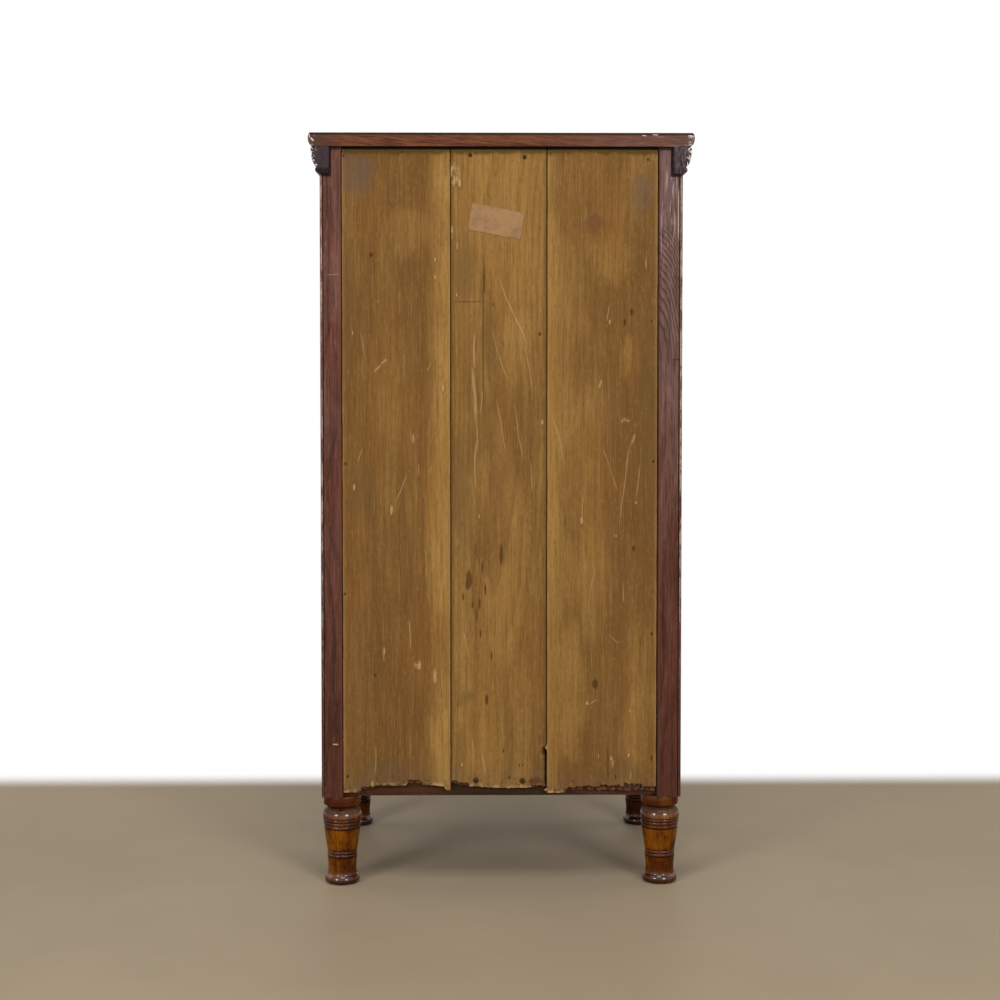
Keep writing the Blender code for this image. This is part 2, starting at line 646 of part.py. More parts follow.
def make_stile(bed_front, base_board, right_post):
    hinge = empty("stile_hinge", (PIVOT_X, PIVOT_Y, 0.0))
    hinge.rotation_euler.z = STILE_REST_ANGLE
    length = STILE_TOP_Z - STILE_BOTTOM_Z
    stile = prism("locking_stile", pilaster_outline(1), length, (0.0, 0.0, LOCK_Z), STAINED_OAK, hinge)
    carve_flutes(stile, 1, length, hinge)
    pin_length = PIVOT_SOCKET + PIVOT_REACH
    bore_length = pin_length + 2 * GLUE_GAP
    ends = (("bottom", base_board, BASE_TOP_Z, 1), ("top", bed_front, BED_UNDER_Z, -1))
    for end, carrier, seat, sign in ends:
        centre = (PIVOT_X, PIVOT_Y, seat + sign * (PIVOT_REACH - PIVOT_SOCKET) / 2)
        rod("pivot_pin_" + end, centre, PIVOT_RADIUS, pin_length, PIVOT_STEPS, BRASS)
        socket = rod("pivot_socket_" + end, centre, PIVOT_RADIUS + PIN_GAP, bore_length, PIVOT_STEPS, None)
        carve(carrier, socket)
        carve(stile, socket)
    make_lock(hinge, stile, right_post)


# Lock: an iron case let into the back of the stile, and a striker on the post that it closes on

def make_lock(hinge, stile, right_post):
    back = STILE_THICKNESS / 2
    front = back - LOCK_DEPTH
    low = (-LOCK_CENTRE - LOCK_WIDTH / 2, front, LOCK_Z - LOCK_LENGTH / 2)
    high = (-LOCK_CENTRE + LOCK_WIDTH / 2, back, LOCK_Z + LOCK_LENGTH / 2)
    case = box("lock_case", low, high, LOCK_IRON, hinge)
    mortise_low = [corner - GLUE_GAP for corner in low]
    mortise_high = (high[0] + GLUE_GAP, back + CUT_MARGIN, high[2] + GLUE_GAP)
    carve(stile, box("lock_mortise", mortise_low, mortise_high, None, hinge))

    post_plane = POST_FRONT_Y - PIVOT_Y
    tongue_tip = post_plane - TONGUE_LENGTH
    slot_low = (-TONGUE_CENTRE - TONGUE_WIDTH / 2 - TONGUE_SLOT_GAP, tongue_tip - TONGUE_SLOT_GAP,
                LOCK_Z - TONGUE_THICKNESS / 2 - TONGUE_SLOT_GAP)
    slot_high = (-TONGUE_CENTRE + TONGUE_WIDTH / 2 + TONGUE_SWING, back + CUT_MARGIN,
                 LOCK_Z + TONGUE_THICKNESS / 2 + TONGUE_SLOT_GAP)
    carve(case, box("tongue_slot", slot_low, slot_high, None, hinge))

    bolt_y = (tongue_tip + post_plane) / 2
    bolt_top = slot_low[2] - GLUE_GAP
    half_bolt = BOLT_SIZE / 2
    bolt_low = (-TONGUE_CENTRE - half_bolt, bolt_y - half_bolt, bolt_top - BOLT_LENGTH)
    bolt_high = (-TONGUE_CENTRE + half_bolt, bolt_y + half_bolt, bolt_top)
    box("lock_bolt", bolt_low, bolt_high, LOCK_IRON, hinge)
    channel_low = [corner - GLUE_GAP for corner in bolt_low]
    channel_high = [corner + GLUE_GAP for corner in bolt_high]
    channel_high[2] += BOLT_THROW
    carve(case, box("bolt_channel", channel_low, channel_high, None, hinge))

    key_x = -(PILASTER_WIDTH - STILE_THICKNESS) / 2
    key_y = (front - STILE_THICKNESS / 2) / 2
    key_length = STILE_THICKNESS / 2 + front + CUT_MARGIN
    key_z = LOCK_Z - KEYHOLE_LEVEL
    key_bore = rod("keyhole_bore", (key_x, key_y - CUT_MARGIN / 2, key_z), KEYHOLE_RADIUS,
                   key_length, PIVOT_STEPS, None, hinge, POINTING_FORWARD)
    carve(stile, key_bore)
    ward_low = (key_x - KEYHOLE_WIDTH / 2, -STILE_THICKNESS / 2 - CUT_MARGIN, key_z - KEYHOLE_DROP)
    ward_high = (key_x + KEYHOLE_WIDTH / 2, front, key_z)
    carve(stile, box("keyhole_slot", ward_low, ward_high, None, hinge))
    make_striker(right_post, bolt_y)


def make_striker(right_post, bolt_y):
    x = PIVOT_X - TONGUE_CENTRE
    low = (x - STRIKER_WIDTH / 2, POST_FRONT_Y, LOCK_Z - STRIKER_LENGTH / 2)
    high = (x + STRIKER_WIDTH / 2, POST_FRONT_Y + STRIKER_THICKNESS, LOCK_Z + STRIKER_LENGTH / 2)
    plate = box("striker_plate", low, high, BRASS)
    recess_low = (low[0] - GLUE_GAP, POST_FRONT_Y - CUT_MARGIN, low[2] - GLUE_GAP)
    recess_high = [corner + GLUE_GAP for corner in high]
    carve(right_post, box("striker_recess", recess_low, recess_high, None))
    root_y = POST_FRONT_Y + STRIKER_THICKNESS / 2
    tongue_low = (x - TONGUE_WIDTH / 2, POST_FRONT_Y - TONGUE_LENGTH, LOCK_Z - TONGUE_THICKNESS / 2)
    tongue_high = (x + TONGUE_WIDTH / 2, root_y, LOCK_Z + TONGUE_THICKNESS / 2)
    carve(plate, box("striker_tongue", tongue_low, tongue_high, None), "UNION")
    eye = BOLT_SIZE / 2 + TONGUE_EYE_GAP
    eye_low = (x - eye, PIVOT_Y + bolt_y - eye, tongue_low[2] - CUT_MARGIN)
    eye_high = (x + eye, PIVOT_Y + bolt_y + eye, tongue_high[2] + CUT_MARGIN)
    carve(plate, box("striker_eye", eye_low, eye_high, None))


# Drawers

def knob_profile():
    spigot_end = -(DRAWER_FRONT_THICKNESS - KNOB_SPIGOT_COVER)
    head = KNOB_HEAD_RADIUS
    profile = [(0.0, KNOB_LENGTH)]
    profile += arc(0.0, KNOB_HEAD_LEVEL, head, KNOB_LENGTH - KNOB_HEAD_LEVEL, 72, 0, KNOB_CURVE_STEPS)
    profile += [(KNOB_NECK_RADIUS, KNOB_NECK_LEVEL), (KNOB_ROSE_RADIUS, KNOB_ROSE_HEIGHT)]
    profile += [(KNOB_ROSE_RADIUS, GLUE_GAP), (KNOB_SPIGOT_RADIUS, GLUE_GAP)]
    profile += [(KNOB_SPIGOT_RADIUS, spigot_end), (0.0, spigot_end)]
    return profile


def make_tray(name, front_y, bottom, top, runner):
    left = LEFT_POST_INNER_X + DRAWER_SIDE_GAP
    right = RIGHT_POST_INNER_X - DRAWER_SIDE_GAP
    back_y = BACK_BOARD_INNER_Y - DRAWER_BACK_GAP
    start_y = front_y + DRAWER_FRONT_THICKNESS + GLUE_GAP
    low = (left, start_y - front_y, bottom)
    high = (right, back_y - front_y, top)
    tray = box(name, low, high, DRAWER_PINE, runner)
    inner_low = (left + DRAWER_SIDE_THICKNESS, start_y - front_y - CUT_MARGIN,
                 bottom + DRAWER_BOTTOM_LIFT + DRAWER_BOTTOM_THICKNESS)
    inner_high = (right - DRAWER_SIDE_THICKNESS, back_y - front_y - DRAWER_BACK_THICKNESS, top + CUT_MARGIN)
    carve(tray, box(name + "_inside", inner_low, inner_high, None, runner))
    under_low = (inner_low[0], inner_low[1], bottom - CUT_MARGIN)
    under_high = (inner_high[0], inner_high[1], bottom + DRAWER_BOTTOM_LIFT)
    carve(tray, box(name + "_under", under_low, under_high, None, runner))


def make_drawers():
    profile = knob_profile()
    front_y = POST_FRONT_Y + DRAWER_FRONT_SET
    for number, (bottom, top) in enumerate(drawer_levels(), start=1):
        name = "drawer_" + str(number)
        middle = (bottom + top) / 2
        runner = empty(name + "_runner", (0.0, front_y, middle))
        low_z = bottom + GLUE_GAP - middle
        high_z = top - DRAWER_TOP_GAP - middle
        low = (LEFT_POST_INNER_X + DRAWER_SIDE_GAP, 0.0, low_z)
        high = (RIGHT_POST_INNER_X - DRAWER_SIDE_GAP, DRAWER_FRONT_THICKNESS, high_z)
        front = box(name + "_front", low, high, STAINED_OAK, runner)
        make_tray(name + "_tray", front_y, low_z, high_z - DRAWER_SIDE_DROP, runner)
        for hand, x in (("left", -KNOB_OFFSET), ("right", KNOB_OFFSET)):
            knob = name + "_knob_" + hand
            turned(knob, profile, KNOB_STEPS, (x, 0.0, 0.0), STAINED_OAK, runner, POINTING_FORWARD)
            bore_length = DRAWER_FRONT_THICKNESS + 2 * CUT_MARGIN
            bore = rod(knob + "_bore", (x, DRAWER_FRONT_THICKNESS / 2, 0.0), KNOB_SPIGOT_RADIUS + PIN_GAP,
                       bore_length, KNOB_STEPS, None, runner, POINTING_FORWARD)
            carve(front, bore)


def main():
    make_top()
    bed_front = make_bed_moulding()
    posts = make_sides(make_bed_rebates())
    base_board = make_base_board()
    make_shelves()
    make_back_boards()
    make_feet(base_board, posts)
    make_fixed_pilaster()
    make_stile(bed_front, base_board, posts["front_post_right"])
    make_drawers()


main()
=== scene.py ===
import math

import bmesh
import bpy
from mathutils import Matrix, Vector, noise


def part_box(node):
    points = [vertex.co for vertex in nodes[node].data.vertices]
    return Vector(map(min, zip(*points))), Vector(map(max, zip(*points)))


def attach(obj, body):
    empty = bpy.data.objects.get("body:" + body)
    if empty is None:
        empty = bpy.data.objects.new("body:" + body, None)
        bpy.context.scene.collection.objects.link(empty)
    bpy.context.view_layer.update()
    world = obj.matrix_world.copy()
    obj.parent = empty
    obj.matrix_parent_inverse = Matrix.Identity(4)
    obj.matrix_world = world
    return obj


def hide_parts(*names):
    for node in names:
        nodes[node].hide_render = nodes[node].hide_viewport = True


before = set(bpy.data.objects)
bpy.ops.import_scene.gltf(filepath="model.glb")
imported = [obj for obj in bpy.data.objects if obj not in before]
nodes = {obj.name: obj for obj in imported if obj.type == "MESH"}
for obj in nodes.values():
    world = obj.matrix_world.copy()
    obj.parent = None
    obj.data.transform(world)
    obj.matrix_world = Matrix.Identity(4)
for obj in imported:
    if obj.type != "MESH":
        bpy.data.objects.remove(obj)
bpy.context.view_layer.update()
print("frame loaded,", len(nodes), "nodes")


# Shader maths: a socket that reads as a number in plain expressions
class Wire:
    def __init__(self, finish, socket):
        self.finish = finish
        self.socket = socket

    def __add__(self, other):
        return self.finish.maths("ADD", self, other)

    def __sub__(self, other):
        return self.finish.maths("SUBTRACT", self, other)

    def __rsub__(self, other):
        return self.finish.maths("SUBTRACT", other, self)

    def __mul__(self, other):
        return self.finish.maths("MULTIPLY", self, other)

    def __truediv__(self, other):
        return self.finish.maths("DIVIDE", self, other)

    def __mod__(self, other):
        return self.finish.maths("FLOORED_MODULO", self, other)

    def __abs__(self):
        return self.finish.maths("ABSOLUTE", self)

    __radd__ = __add__
    __rmul__ = __mul__


# The nodes of a material or of the world
class Wiring:
    def __init__(self, tree):
        self.tree = tree

    # a socket takes a link, a colour or a plain value
    def feed(self, socket, value):
        if isinstance(value, Wire):
            self.tree.links.new(value.socket, socket)
        elif socket.type == "RGBA":
            socket.default_value = (*value, 1.0)
        else:
            socket.default_value = value

    # any node: its type, its settings, then the values or links of its sockets
    def node(self, kind, settings=None, sockets=None, output=0):
        made = self.tree.nodes.new(kind)
        for name, value in (settings or {}).items():
            setattr(made, name, value)
        for name, value in (sockets or {}).items():
            self.feed(made.inputs[name], value)
        return Wire(self, made.outputs[output])

    def maths(self, operation, *values):
        return self.node("ShaderNodeMath", {"operation": operation}, dict(enumerate(values)))

    def most(self, first, second):
        return self.maths("MAXIMUM", first, second)

    def least(self, first, second):
        return self.maths("MINIMUM", first, second)


# A material, with the colour laid on so far and how far its polish is dulled
class Finish(Wiring):
    def __init__(self, name):
        self.material = bpy.data.materials.new(name)
        self.material.use_nodes = True
        super().__init__(self.material.node_tree)
        self.shader = self.tree.nodes["Principled BSDF"]
        self.shader.inputs["Coat Roughness"].default_value = 0.26
        self.colour = None
        self.dull = 0.0
        self.spot = self.node("ShaderNodeTexCoord", output="Object")
        parts = self.node("ShaderNodeSeparateXYZ", {}, {0: self.spot}).socket.node
        self.x, self.y, self.z = (Wire(self, out) for out in parts.outputs)

    def vectors(self, operation, *values, output=0):
        return self.node("ShaderNodeVectorMath", {"operation": operation}, dict(enumerate(values)), output)

    def noise(self, stretch, seed, detail=3.0, roughness=0.55, output=0, spot=None):
        shift = (seed * 1.31, seed * 2.17, seed * 0.73)
        scaled = self.vectors("MULTIPLY_ADD", spot or self.spot, stretch, shift)
        return self.node("ShaderNodeTexNoise", {},
                         {"Vector": scaled, "Scale": 1.0, "Detail": detail, "Roughness": roughness}, output)

    def soft(self, value, start, end):
        return self.node("ShaderNodeMapRange", {"interpolation_type": "SMOOTHSTEP"},
                         {"Value": value, "From Min": start, "From Max": end})

    # 1 close to a level, 0 far from it
    def near(self, value, level, far, close):
        return self.soft(abs(value - level), far, close)

    def mix(self, mask, first, second, blend="MIX"):
        return self.node("ShaderNodeMix", {"data_type": "RGBA", "blend_type": blend},
                         {0: mask, 6: first, 7: second}, 2)

    # a tone over the colour so far, as far as the mask lets it show
    def lay(self, mask, tone, blend="MIX"):
        self.colour = self.mix(mask, self.colour, tone, blend)

    # an oval patch, 1 in its middle and 0 at its rim: its place, half its width and half its height
    def patch(self, across, up, mark, rim):
        x, z, wide, tall = mark
        sideways = (across - x) / wide
        upward = (up - z) / tall
        return self.soft(sideways * sideways + upward * upward, 1.0, 1.0 - rim)

    # a thin stroke from one point to another, fading at its ends
    def stroke(self, across, up, mark):
        x1, z1, x2, z2, width = mark
        length = math.dist((x1, z1), (x2, z2))
        ex, ez = (x2 - x1) / length, (z2 - z1) / length
        run = across * ex + up * ez - (x1 * ex + z1 * ez)
        off = abs(across * ez - up * ex - (x1 * ez - z1 * ex))
        ends = self.soft(self.least(run, length - run), 0.0, 0.25 * length)
        return self.soft(off, width, 0.2 * width) * ends

    # patches or strokes together in one mask
    def marked(self, draw, across, up, marks, *rim):
        mask = 0.0
        for mark in marks:
            mask = self.most(mask, draw(across, up, mark, *rim))
        return mask

    def surface(self, roughness, height, depth, metallic=0.0, coat=0.0, shine=0.5):
        bump = self.node("ShaderNodeBump", {}, {"Strength": 1.0, "Distance": depth, "Height": height})
        looks = {"Base Color": self.colour, "Roughness": roughness, "Metallic": metallic,
                 "Coat Weight": coat, "Specular IOR Level": shine, "Normal": bump}
        for name, value in looks.items():
            self.feed(self.shader.inputs[name], value)
        return self.material


# Noise drawn out along the grain
def drawn(axis, across, lengthwise):
    return tuple(lengthwise if letter == axis else across for letter in "xyz")


# Growth rings round a heart line that runs along the grain
def rings(f, axis, heart, spacing, seed, sway):
    flat = tuple(0.0 if letter == axis else 1.0 for letter in "xyz")
    offset = tuple(-place for place in heart)
    level = f.vectors("MULTIPLY_ADD", f.spot, flat, offset)
    drift = f.noise(drawn(axis, 6.0, 1.6), seed, 2.0, 0.5, 1)
    warped = f.vectors("MULTIPLY_ADD", drift, (sway, sway, sway), level)
    radius = f.vectors("LENGTH", warped, output="Value")
    ripple = f.noise(drawn(axis, 40.0, 7.0), seed + 2.0, 2.0)
    return (radius / spacing + ripple * 0.7) % 1.0


oak = {
    "dark": (0.035, 0.010, 0.006),
    "body": (0.087, 0.027, 0.015),
    "light": (0.150, 0.051, 0.030),
    "pore": (0.012, 0.004, 0.003),
    "worn": (0.46, 0.34, 0.26),
    "ringWidth": 0.0052,
    "ringSway": 0.05,
}


# Stained oak; a tint lays more over the wood and may dull its polish
def stainedOak(name, axis, heart, seed, tint=None, roughness=0.40, coat=0.12, shine=0.12):
    f = Finish(name)
    phase = rings(f, axis, heart, oak["ringWidth"], seed, oak["ringSway"])
    early = f.soft(phase, 0.55, 0.08)
    pores = f.soft(f.noise(drawn(axis, 1300.0, 48.0), seed + 3.0, 2.0), 0.54, 0.66) * (0.25 + early * 0.75)
    fibre = f.noise(drawn(axis, 420.0, 8.0), seed + 5.0, 4.0, 0.65)
    blotch = f.noise(drawn(axis, 14.0, 3.5), seed + 7.0)
    f.colour = f.mix(f.soft(blotch, 0.32, 0.68), oak["body"], oak["light"])
    f.lay(early * 0.62, oak["dark"])
    f.lay(f.soft(fibre, 0.42, 0.72) * 0.35, oak["light"])
    f.lay(pores * 0.75, oak["pore"])
    if tint:
        tint(f, seed)
    height = fibre * 0.35 - pores * 0.8 - early * 0.3
    rough = roughness + f.dull * 0.25 + (blotch - 0.5) * 0.25 + pores * 0.25
    return f.surface(rough, height, 0.00025, coat=coat * (1.0 - f.dull), shine=shine)


# The rubbed strip along a sharp edge: stain worn through in places
def rubbedEdge(name, strength):
    f = Finish(name)
    patchy = f.soft(f.noise((60.0, 60.0, 28.0), 4.0, 4.0, 0.65), 0.47, 0.66)
    fine = f.noise((400.0, 400.0, 160.0), 9.0)
    f.colour = f.mix(f.soft(fine, 0.35, 0.65), oak["dark"], oak["light"])
    f.lay(patchy * f.soft(fine, 0.38, 0.56) * strength, oak["worn"])
    return f.surface(0.5 + fine * 0.2, fine, 0.0003)


# A mesh made into an object, smooth but for the edges that turn more than an angle
def addObject(name, mesh, angle=32.0):
    bmesh.ops.recalc_face_normals(mesh, faces=mesh.faces)
    data = bpy.data.meshes.new(name)
    mesh.to_mesh(data)
    mesh.free()
    data.shade_smooth()
    data.set_sharp_from_angle(angle=math.radians(angle))
    piece = bpy.data.objects.new(name, data)
    bpy.context.scene.collection.objects.link(piece)
    return piece


# Closed loops of points, skinned one to the next and capped at both ends, or joined into a ring
def loft(name, loops, ring=False, angle=32.0):
    mesh = bmesh.new()
    rows = [[mesh.verts.new(point) for point in loop] for loop in loops]
    count = len(rows[0])
    pairs = list(zip(rows, rows[1:]))
    if ring:
        pairs.append((rows[-1], rows[0]))
    for low, high in pairs:
        for i in range(count):
            j = (i + 1) % count
            mesh.faces.new((low[i], low[j], high[j], high[i]))
    if not ring:
        mesh.faces.new(rows[0])
        mesh.faces.new(rows[-1])
    return addObject(name, mesh, angle)


def lathe(name, profile, steps, angle=32.0):
    circle = arc((0.0, 0.0), (1.0, 1.0), 0, 360, steps)[:-1]
    loops = [[(radius * c, radius * s, level) for c, s in circle] for radius, level in profile]
    return loft(name, loops, angle=angle)


def arc(middle, radii, start, end, steps):
    angles = [math.radians(start + (end - start) * i / steps) for i in range(steps + 1)]
    return [(middle[0] + radii[0] * math.cos(a), middle[1] + radii[1] * math.sin(a)) for a in angles]


# A quadratic curve between two points, drawn towards a third
def bend(start, pull, end, steps):
    points = []
    for i in range(steps + 1):
        t = i / steps
        points.append(tuple((1 - t) ** 2 * a + 2 * t * (1 - t) * b + t * t * c
                            for a, b, c in zip(start, pull, end)))
    return points


def settle(piece, body, slot, material, *replaced):
    piece.data.materials.append(material)
    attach(piece, body)
    if replaced:
        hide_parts(*replaced)
    return piece


# A node of the frame that stays, with softened edges that may be rubbed
def dress(name, material, edge=None, width=0.0007):
    piece = nodes[name]
    piece.data.materials.clear()
    piece.data.materials.append(material)
    weld = piece.modifiers.new("weld", "WELD")
    weld.merge_threshold = 0.00002
    bevel = piece.modifiers.new("softEdge", "BEVEL")
    bevel.width = width
    bevel.segments = 2
    bevel.limit_method = "ANGLE"
    bevel.angle_limit = math.radians(30.0)
    bevel.use_clamp_overlap = True
    if edge:
        piece.data.materials.append(edge)
        bevel.material = 1


rubbed = rubbedEdge("rubbedEdge", 0.85)
quietEdge = rubbedEdge("quietEdge", 0.25)
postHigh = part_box("back_post_right")[1]
halfWidth = postHigh.x
backFace = postHigh.y
topLow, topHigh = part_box("top")


# Back posts: paler and pinker above and dark below, which is painted light and shade over the wood, with a
# rubbed bead on the outer corner.
# A stroke is its two ends and its width; a worn place has its strength after it.
post = {
    "beadWidth": 0.0050,
    "pale": (0.220, 0.112, 0.091),
    "low": (0.048, 0.012, 0.006),
    "red": (0.120, 0.034, 0.018),
    "shadeAndDirt": (0.010, 0.004, 0.002),
    "sheen": (0.430, 0.345, 0.335),
    "mauve": (0.150, 0.096, 0.086),
    "archMiddle": (-0.2575, 0.88),
    "archRise": (18.0, 230.0),
    "archReach": (90.0, 2200.0),
    "check": (-0.2740, 0.857, -0.2915, 0.857, 0.0014),
    "left": {"heart": (-0.262, 0.165, 0.0), "seed": 21.0, "gap": 0.0028, "seam": 0.0046,
             "paleness": 0.70, "shade": 0.70,
             "worn": (((-0.2852, 1.140, -0.2852, 1.040, 0.0016), 0.75),)},
    "right": {"heart": (0.275, 0.120, 0.0), "seed": 34.0, "gap": 0.0019, "seam": 0.0030,
              "paleness": 0.58, "shade": 0.60,
              "worn": (((0.2745, 0.2335, 0.2640, 0.2330, 0.0015), 1.0),
                       ((0.2830, 0.9930, 0.2600, 0.9945, 0.0011), 0.35))},
}
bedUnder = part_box("bed_moulding_right")[0].z
bedLetIn = 0.0157


# Arched grain, a painted sheen in pale streaks and a short check on the left post
def archedFigure(f, seed, wander, lines, back):
    rise = f.z - post["archMiddle"][1]
    reach = post["archMiddle"][0] - f.x
    arches = rise * post["archRise"][0] + rise * rise * post["archRise"][1] + wander * 1.8 + lines * 0.4
    arches = (arches + reach * post["archReach"][0] + reach * reach * post["archReach"][1]) % 1.0
    lined = f.soft(arches, 0.45, 0.90) * f.soft(arches, 1.0, 0.94)
    figured = f.soft(f.z, 0.83, 0.90) * f.soft(f.z, 1.085, 1.055) * back
    f.lay(lined * figured * 0.72, oak["dark"])
    streaks = f.soft(f.noise((330.0, 330.0, 24.0), seed + 15.0, 3.0, 0.6), 0.54, 0.68)
    sheen = streaks * f.soft(f.z, 0.93, 1.08) * f.soft(f.z, 1.175, 1.150)
    f.lay(sheen * back * 0.60, post["sheen"])
    f.lay(f.stroke(f.x, f.z, post["check"]) * back * 0.8, oak["dark"])


# Painted shade in black seams: beside the board, round the let-in moulding and under the top, and in the
# bead's quirk, where it is partly dirt
def postShadeSeams(f, side, boardEdge, marks):
    gap = f.soft(side, boardEdge + marks["gap"], boardEdge + marks["gap"] - 0.0010)
    ceiling = f.soft(f.z, topLow.z - 0.0056, topLow.z - 0.0044)
    inner = halfWidth - bedLetIn - marks["seam"]
    corner = f.soft(side, inner, inner + 0.0005) * f.soft(f.z, bedUnder - 0.0044, bedUnder - 0.0036)
    quirk = f.near(side, halfWidth - post["beadWidth"] - 0.0004, 0.0014, 0.0004) * 0.8
    return f.most(f.most(gap, ceiling), f.most(corner, quirk))


def postTint(hand):
    marks = post[hand]
    boardEdge = abs(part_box("back_board_" + hand)[0 if hand == "left" else 1].x)

    def tint(f, seed):
        level = f.soft(f.z, 0.10, 0.95)
        wander = f.noise((30.0, 30.0, 5.0), seed + 11.0)
        lines = f.noise((520.0, 520.0, 13.0), seed + 12.0, 3.0, 0.6)
        mottle = f.noise((260.0, 260.0, 42.0), seed + 14.0, 3.0, 0.6)
        # Painted light and shade: paler and pinker towards the top, with the mauve on the left post and
        # paler lines and mottle, and darker towards the bottom
        f.lay(level * f.soft(wander, 0.28, 0.66) * marks["paleness"], post["pale"])
        if hand == "left":
            f.lay(f.soft(f.z, 0.58, 0.98) * 0.72, post["mauve"])
        f.lay((1.0 - level) * marks["shade"], post["low"])
        f.lay(f.soft(lines, 0.50, 0.34) * 0.55, oak["dark"])
        f.lay(f.soft(lines, 0.54, 0.72) * (0.15 + level * 0.30), post["pale"])
        f.lay(f.soft(mottle, 0.48, 0.30) * 0.40, oak["dark"])
        f.lay(f.soft(mottle, 0.54, 0.74) * (0.15 + level * 0.30), post["pale"])
        side = abs(f.x)
        back = f.soft(f.y, backFace - 0.006, backFace - 0.004)
        f.dull = back
        if hand == "left":
            archedFigure(f, seed, wander, lines, back)
        f.lay(f.soft(side, boardEdge + 0.0075, boardEdge + 0.0035) * back * 0.45, post["red"])
        # painted shade in the seams, with some dirt in the quirk
        f.lay(postShadeSeams(f, side, boardEdge, marks) * back * 0.94, post["shadeAndDirt"])
        bead = f.soft(side, halfWidth - 0.0042, halfWidth - 0.0030) * back
        flaked = f.soft(f.noise((160.0, 160.0, 24.0), seed + 13.0, 4.0, 0.7), 0.47, 0.57)
        f.lay(bead * flaked * f.soft(f.z, 0.25, 0.60) * 0.85, oak["worn"])
        worn = 0.0
        for stroke, strength in marks["worn"]:
            worn = f.most(worn, f.stroke(f.x, f.z, stroke) * strength)
        f.lay(worn * back, oak["worn"])

    return tint


def makePosts():
    for hand in ("left", "right"):
        heart, seed = post[hand]["heart"], post[hand]["seed"]
        backOak = stainedOak("backPost_" + hand, "z", heart, seed, postTint(hand), 0.46, 0.05)
        dress("back_post_" + hand, backOak, quietEdge, 0.0006)
        frontOak = stainedOak("frontPost_" + hand, "z", (heart[0], -0.1, 0.0), seed + 3.0)
        dress("front_post_" + hand, frontOak, rubbed)
    print("posts dressed")


# Top: a thin slab with a thumb nose round three sides
top = {
    "upperRound": (0.0040, 0.0088),
    "lowerRound": (0.0080, 0.0127),
    "cornerRadius": 0.006,
    "cornerSteps": 8,
    "edge": (0.181, 0.069, 0.035),
    "deep": (0.077, 0.029, 0.018),
    "grey": (0.066, 0.040, 0.034),
    "line": (0.026, 0.015, 0.011),
    "mauve": (0.150, 0.082, 0.066),
    "sheen": (0.400, 0.330, 0.320),
    "bare": (0.720, 0.640, 0.590),
    "scuffs": ((0.3058, 1.2120, 0.3000, 1.2060, 0.0019), (0.3082, 1.2185, 0.3066, 1.2110, 0.0013),
               (-0.3075, 1.2150, -0.2985, 1.2155, 0.0017), (-0.2410, 1.2172, -0.2520, 1.2166, 0.0010),
               (-0.2250, 1.2160, -0.2330, 1.2150, 0.0009), (-0.3070, 1.2125, -0.3020, 1.2128, 0.0010)),
}


def topTint(f, seed):
    back = f.soft(f.y, topHigh.y - 0.003, topHigh.y - 0.001)
    f.dull = back
    slant = f.node("ShaderNodeVectorRotate", {"rotation_type": "Y_AXIS"}, {"Vector": f.spot, "Angle": 0.10})
    streak = f.noise((28.0, 300.0, 430.0), 0.0, 4.0, 0.62, spot=slant)
    f.lay(back * 0.80, f.mix(f.soft(streak, 0.38, 0.60), top["deep"], top["edge"]))
    ends = f.soft(abs(f.x), topHigh.x - 0.060, topHigh.x - 0.010)
    f.lay(ends * back * 0.65, top["grey"])
    f.lay(f.soft(f.x, 0.0, -0.24) * back * 0.45, top["mauve"])
    sheen = f.soft(f.noise((26.0, 60.0, 520.0), seed + 19.0, 3.0, 0.6), 0.56, 0.70)
    f.lay(sheen * f.soft(f.x, -0.10, -0.26) * back * 0.50, top["sheen"])
    rim = f.soft(f.z + (streak - 0.5) * 0.004, topHigh.z - 0.0050, topHigh.z - 0.0026)
    f.lay(rim * back * 0.80, top["line"])
    flaked = f.soft(f.noise((140.0, 90.0, 260.0), seed + 17.0, 4.0, 0.7), 0.55, 0.64)
    bare = f.soft(abs(f.x), topHigh.x - 0.014, topHigh.x - 0.003) * flaked * 0.7
    bare = f.most(bare, f.marked(f.stroke, f.x, f.z, top["scuffs"]))
    f.lay(bare * back * 0.85, top["bare"])


def topOutline(inset, level):
    radius = top["cornerRadius"]
    side = topHigh.x - inset
    front = topLow.y + inset
    back = topHigh.y
    reach = radius - min(inset, radius - 0.0005)
    points = [(side, back)]
    points += arc((side - reach, front + reach), (reach, reach), 0, -90, top["cornerSteps"])
    points += arc((-side + reach, front + reach), (reach, reach), -90, -180, top["cornerSteps"])
    points += [(-side, back)]
    return [(x, y, level) for x, y in points]


def makeTop():
    wide, tall = top["lowerRound"]
    profile = arc((wide, topLow.z + tall), (-wide, tall), -90, 0, 10)
    wide, tall = top["upperRound"]
    profile += arc((wide, topHigh.z - tall), (-wide, tall), 0, 90, 8)[1:]
    slab = loft("topSlab", [topOutline(inset, level) for inset, level in profile], angle=40.0)
    topOak = stainedOak("topOak", "x", (0.0, 0.06, 1.10), 5.0, topTint, 0.46, 0.07, shine=0.0)
    settle(slab, "carcass", "stained_oak", topOak, "top")
    print("top made")


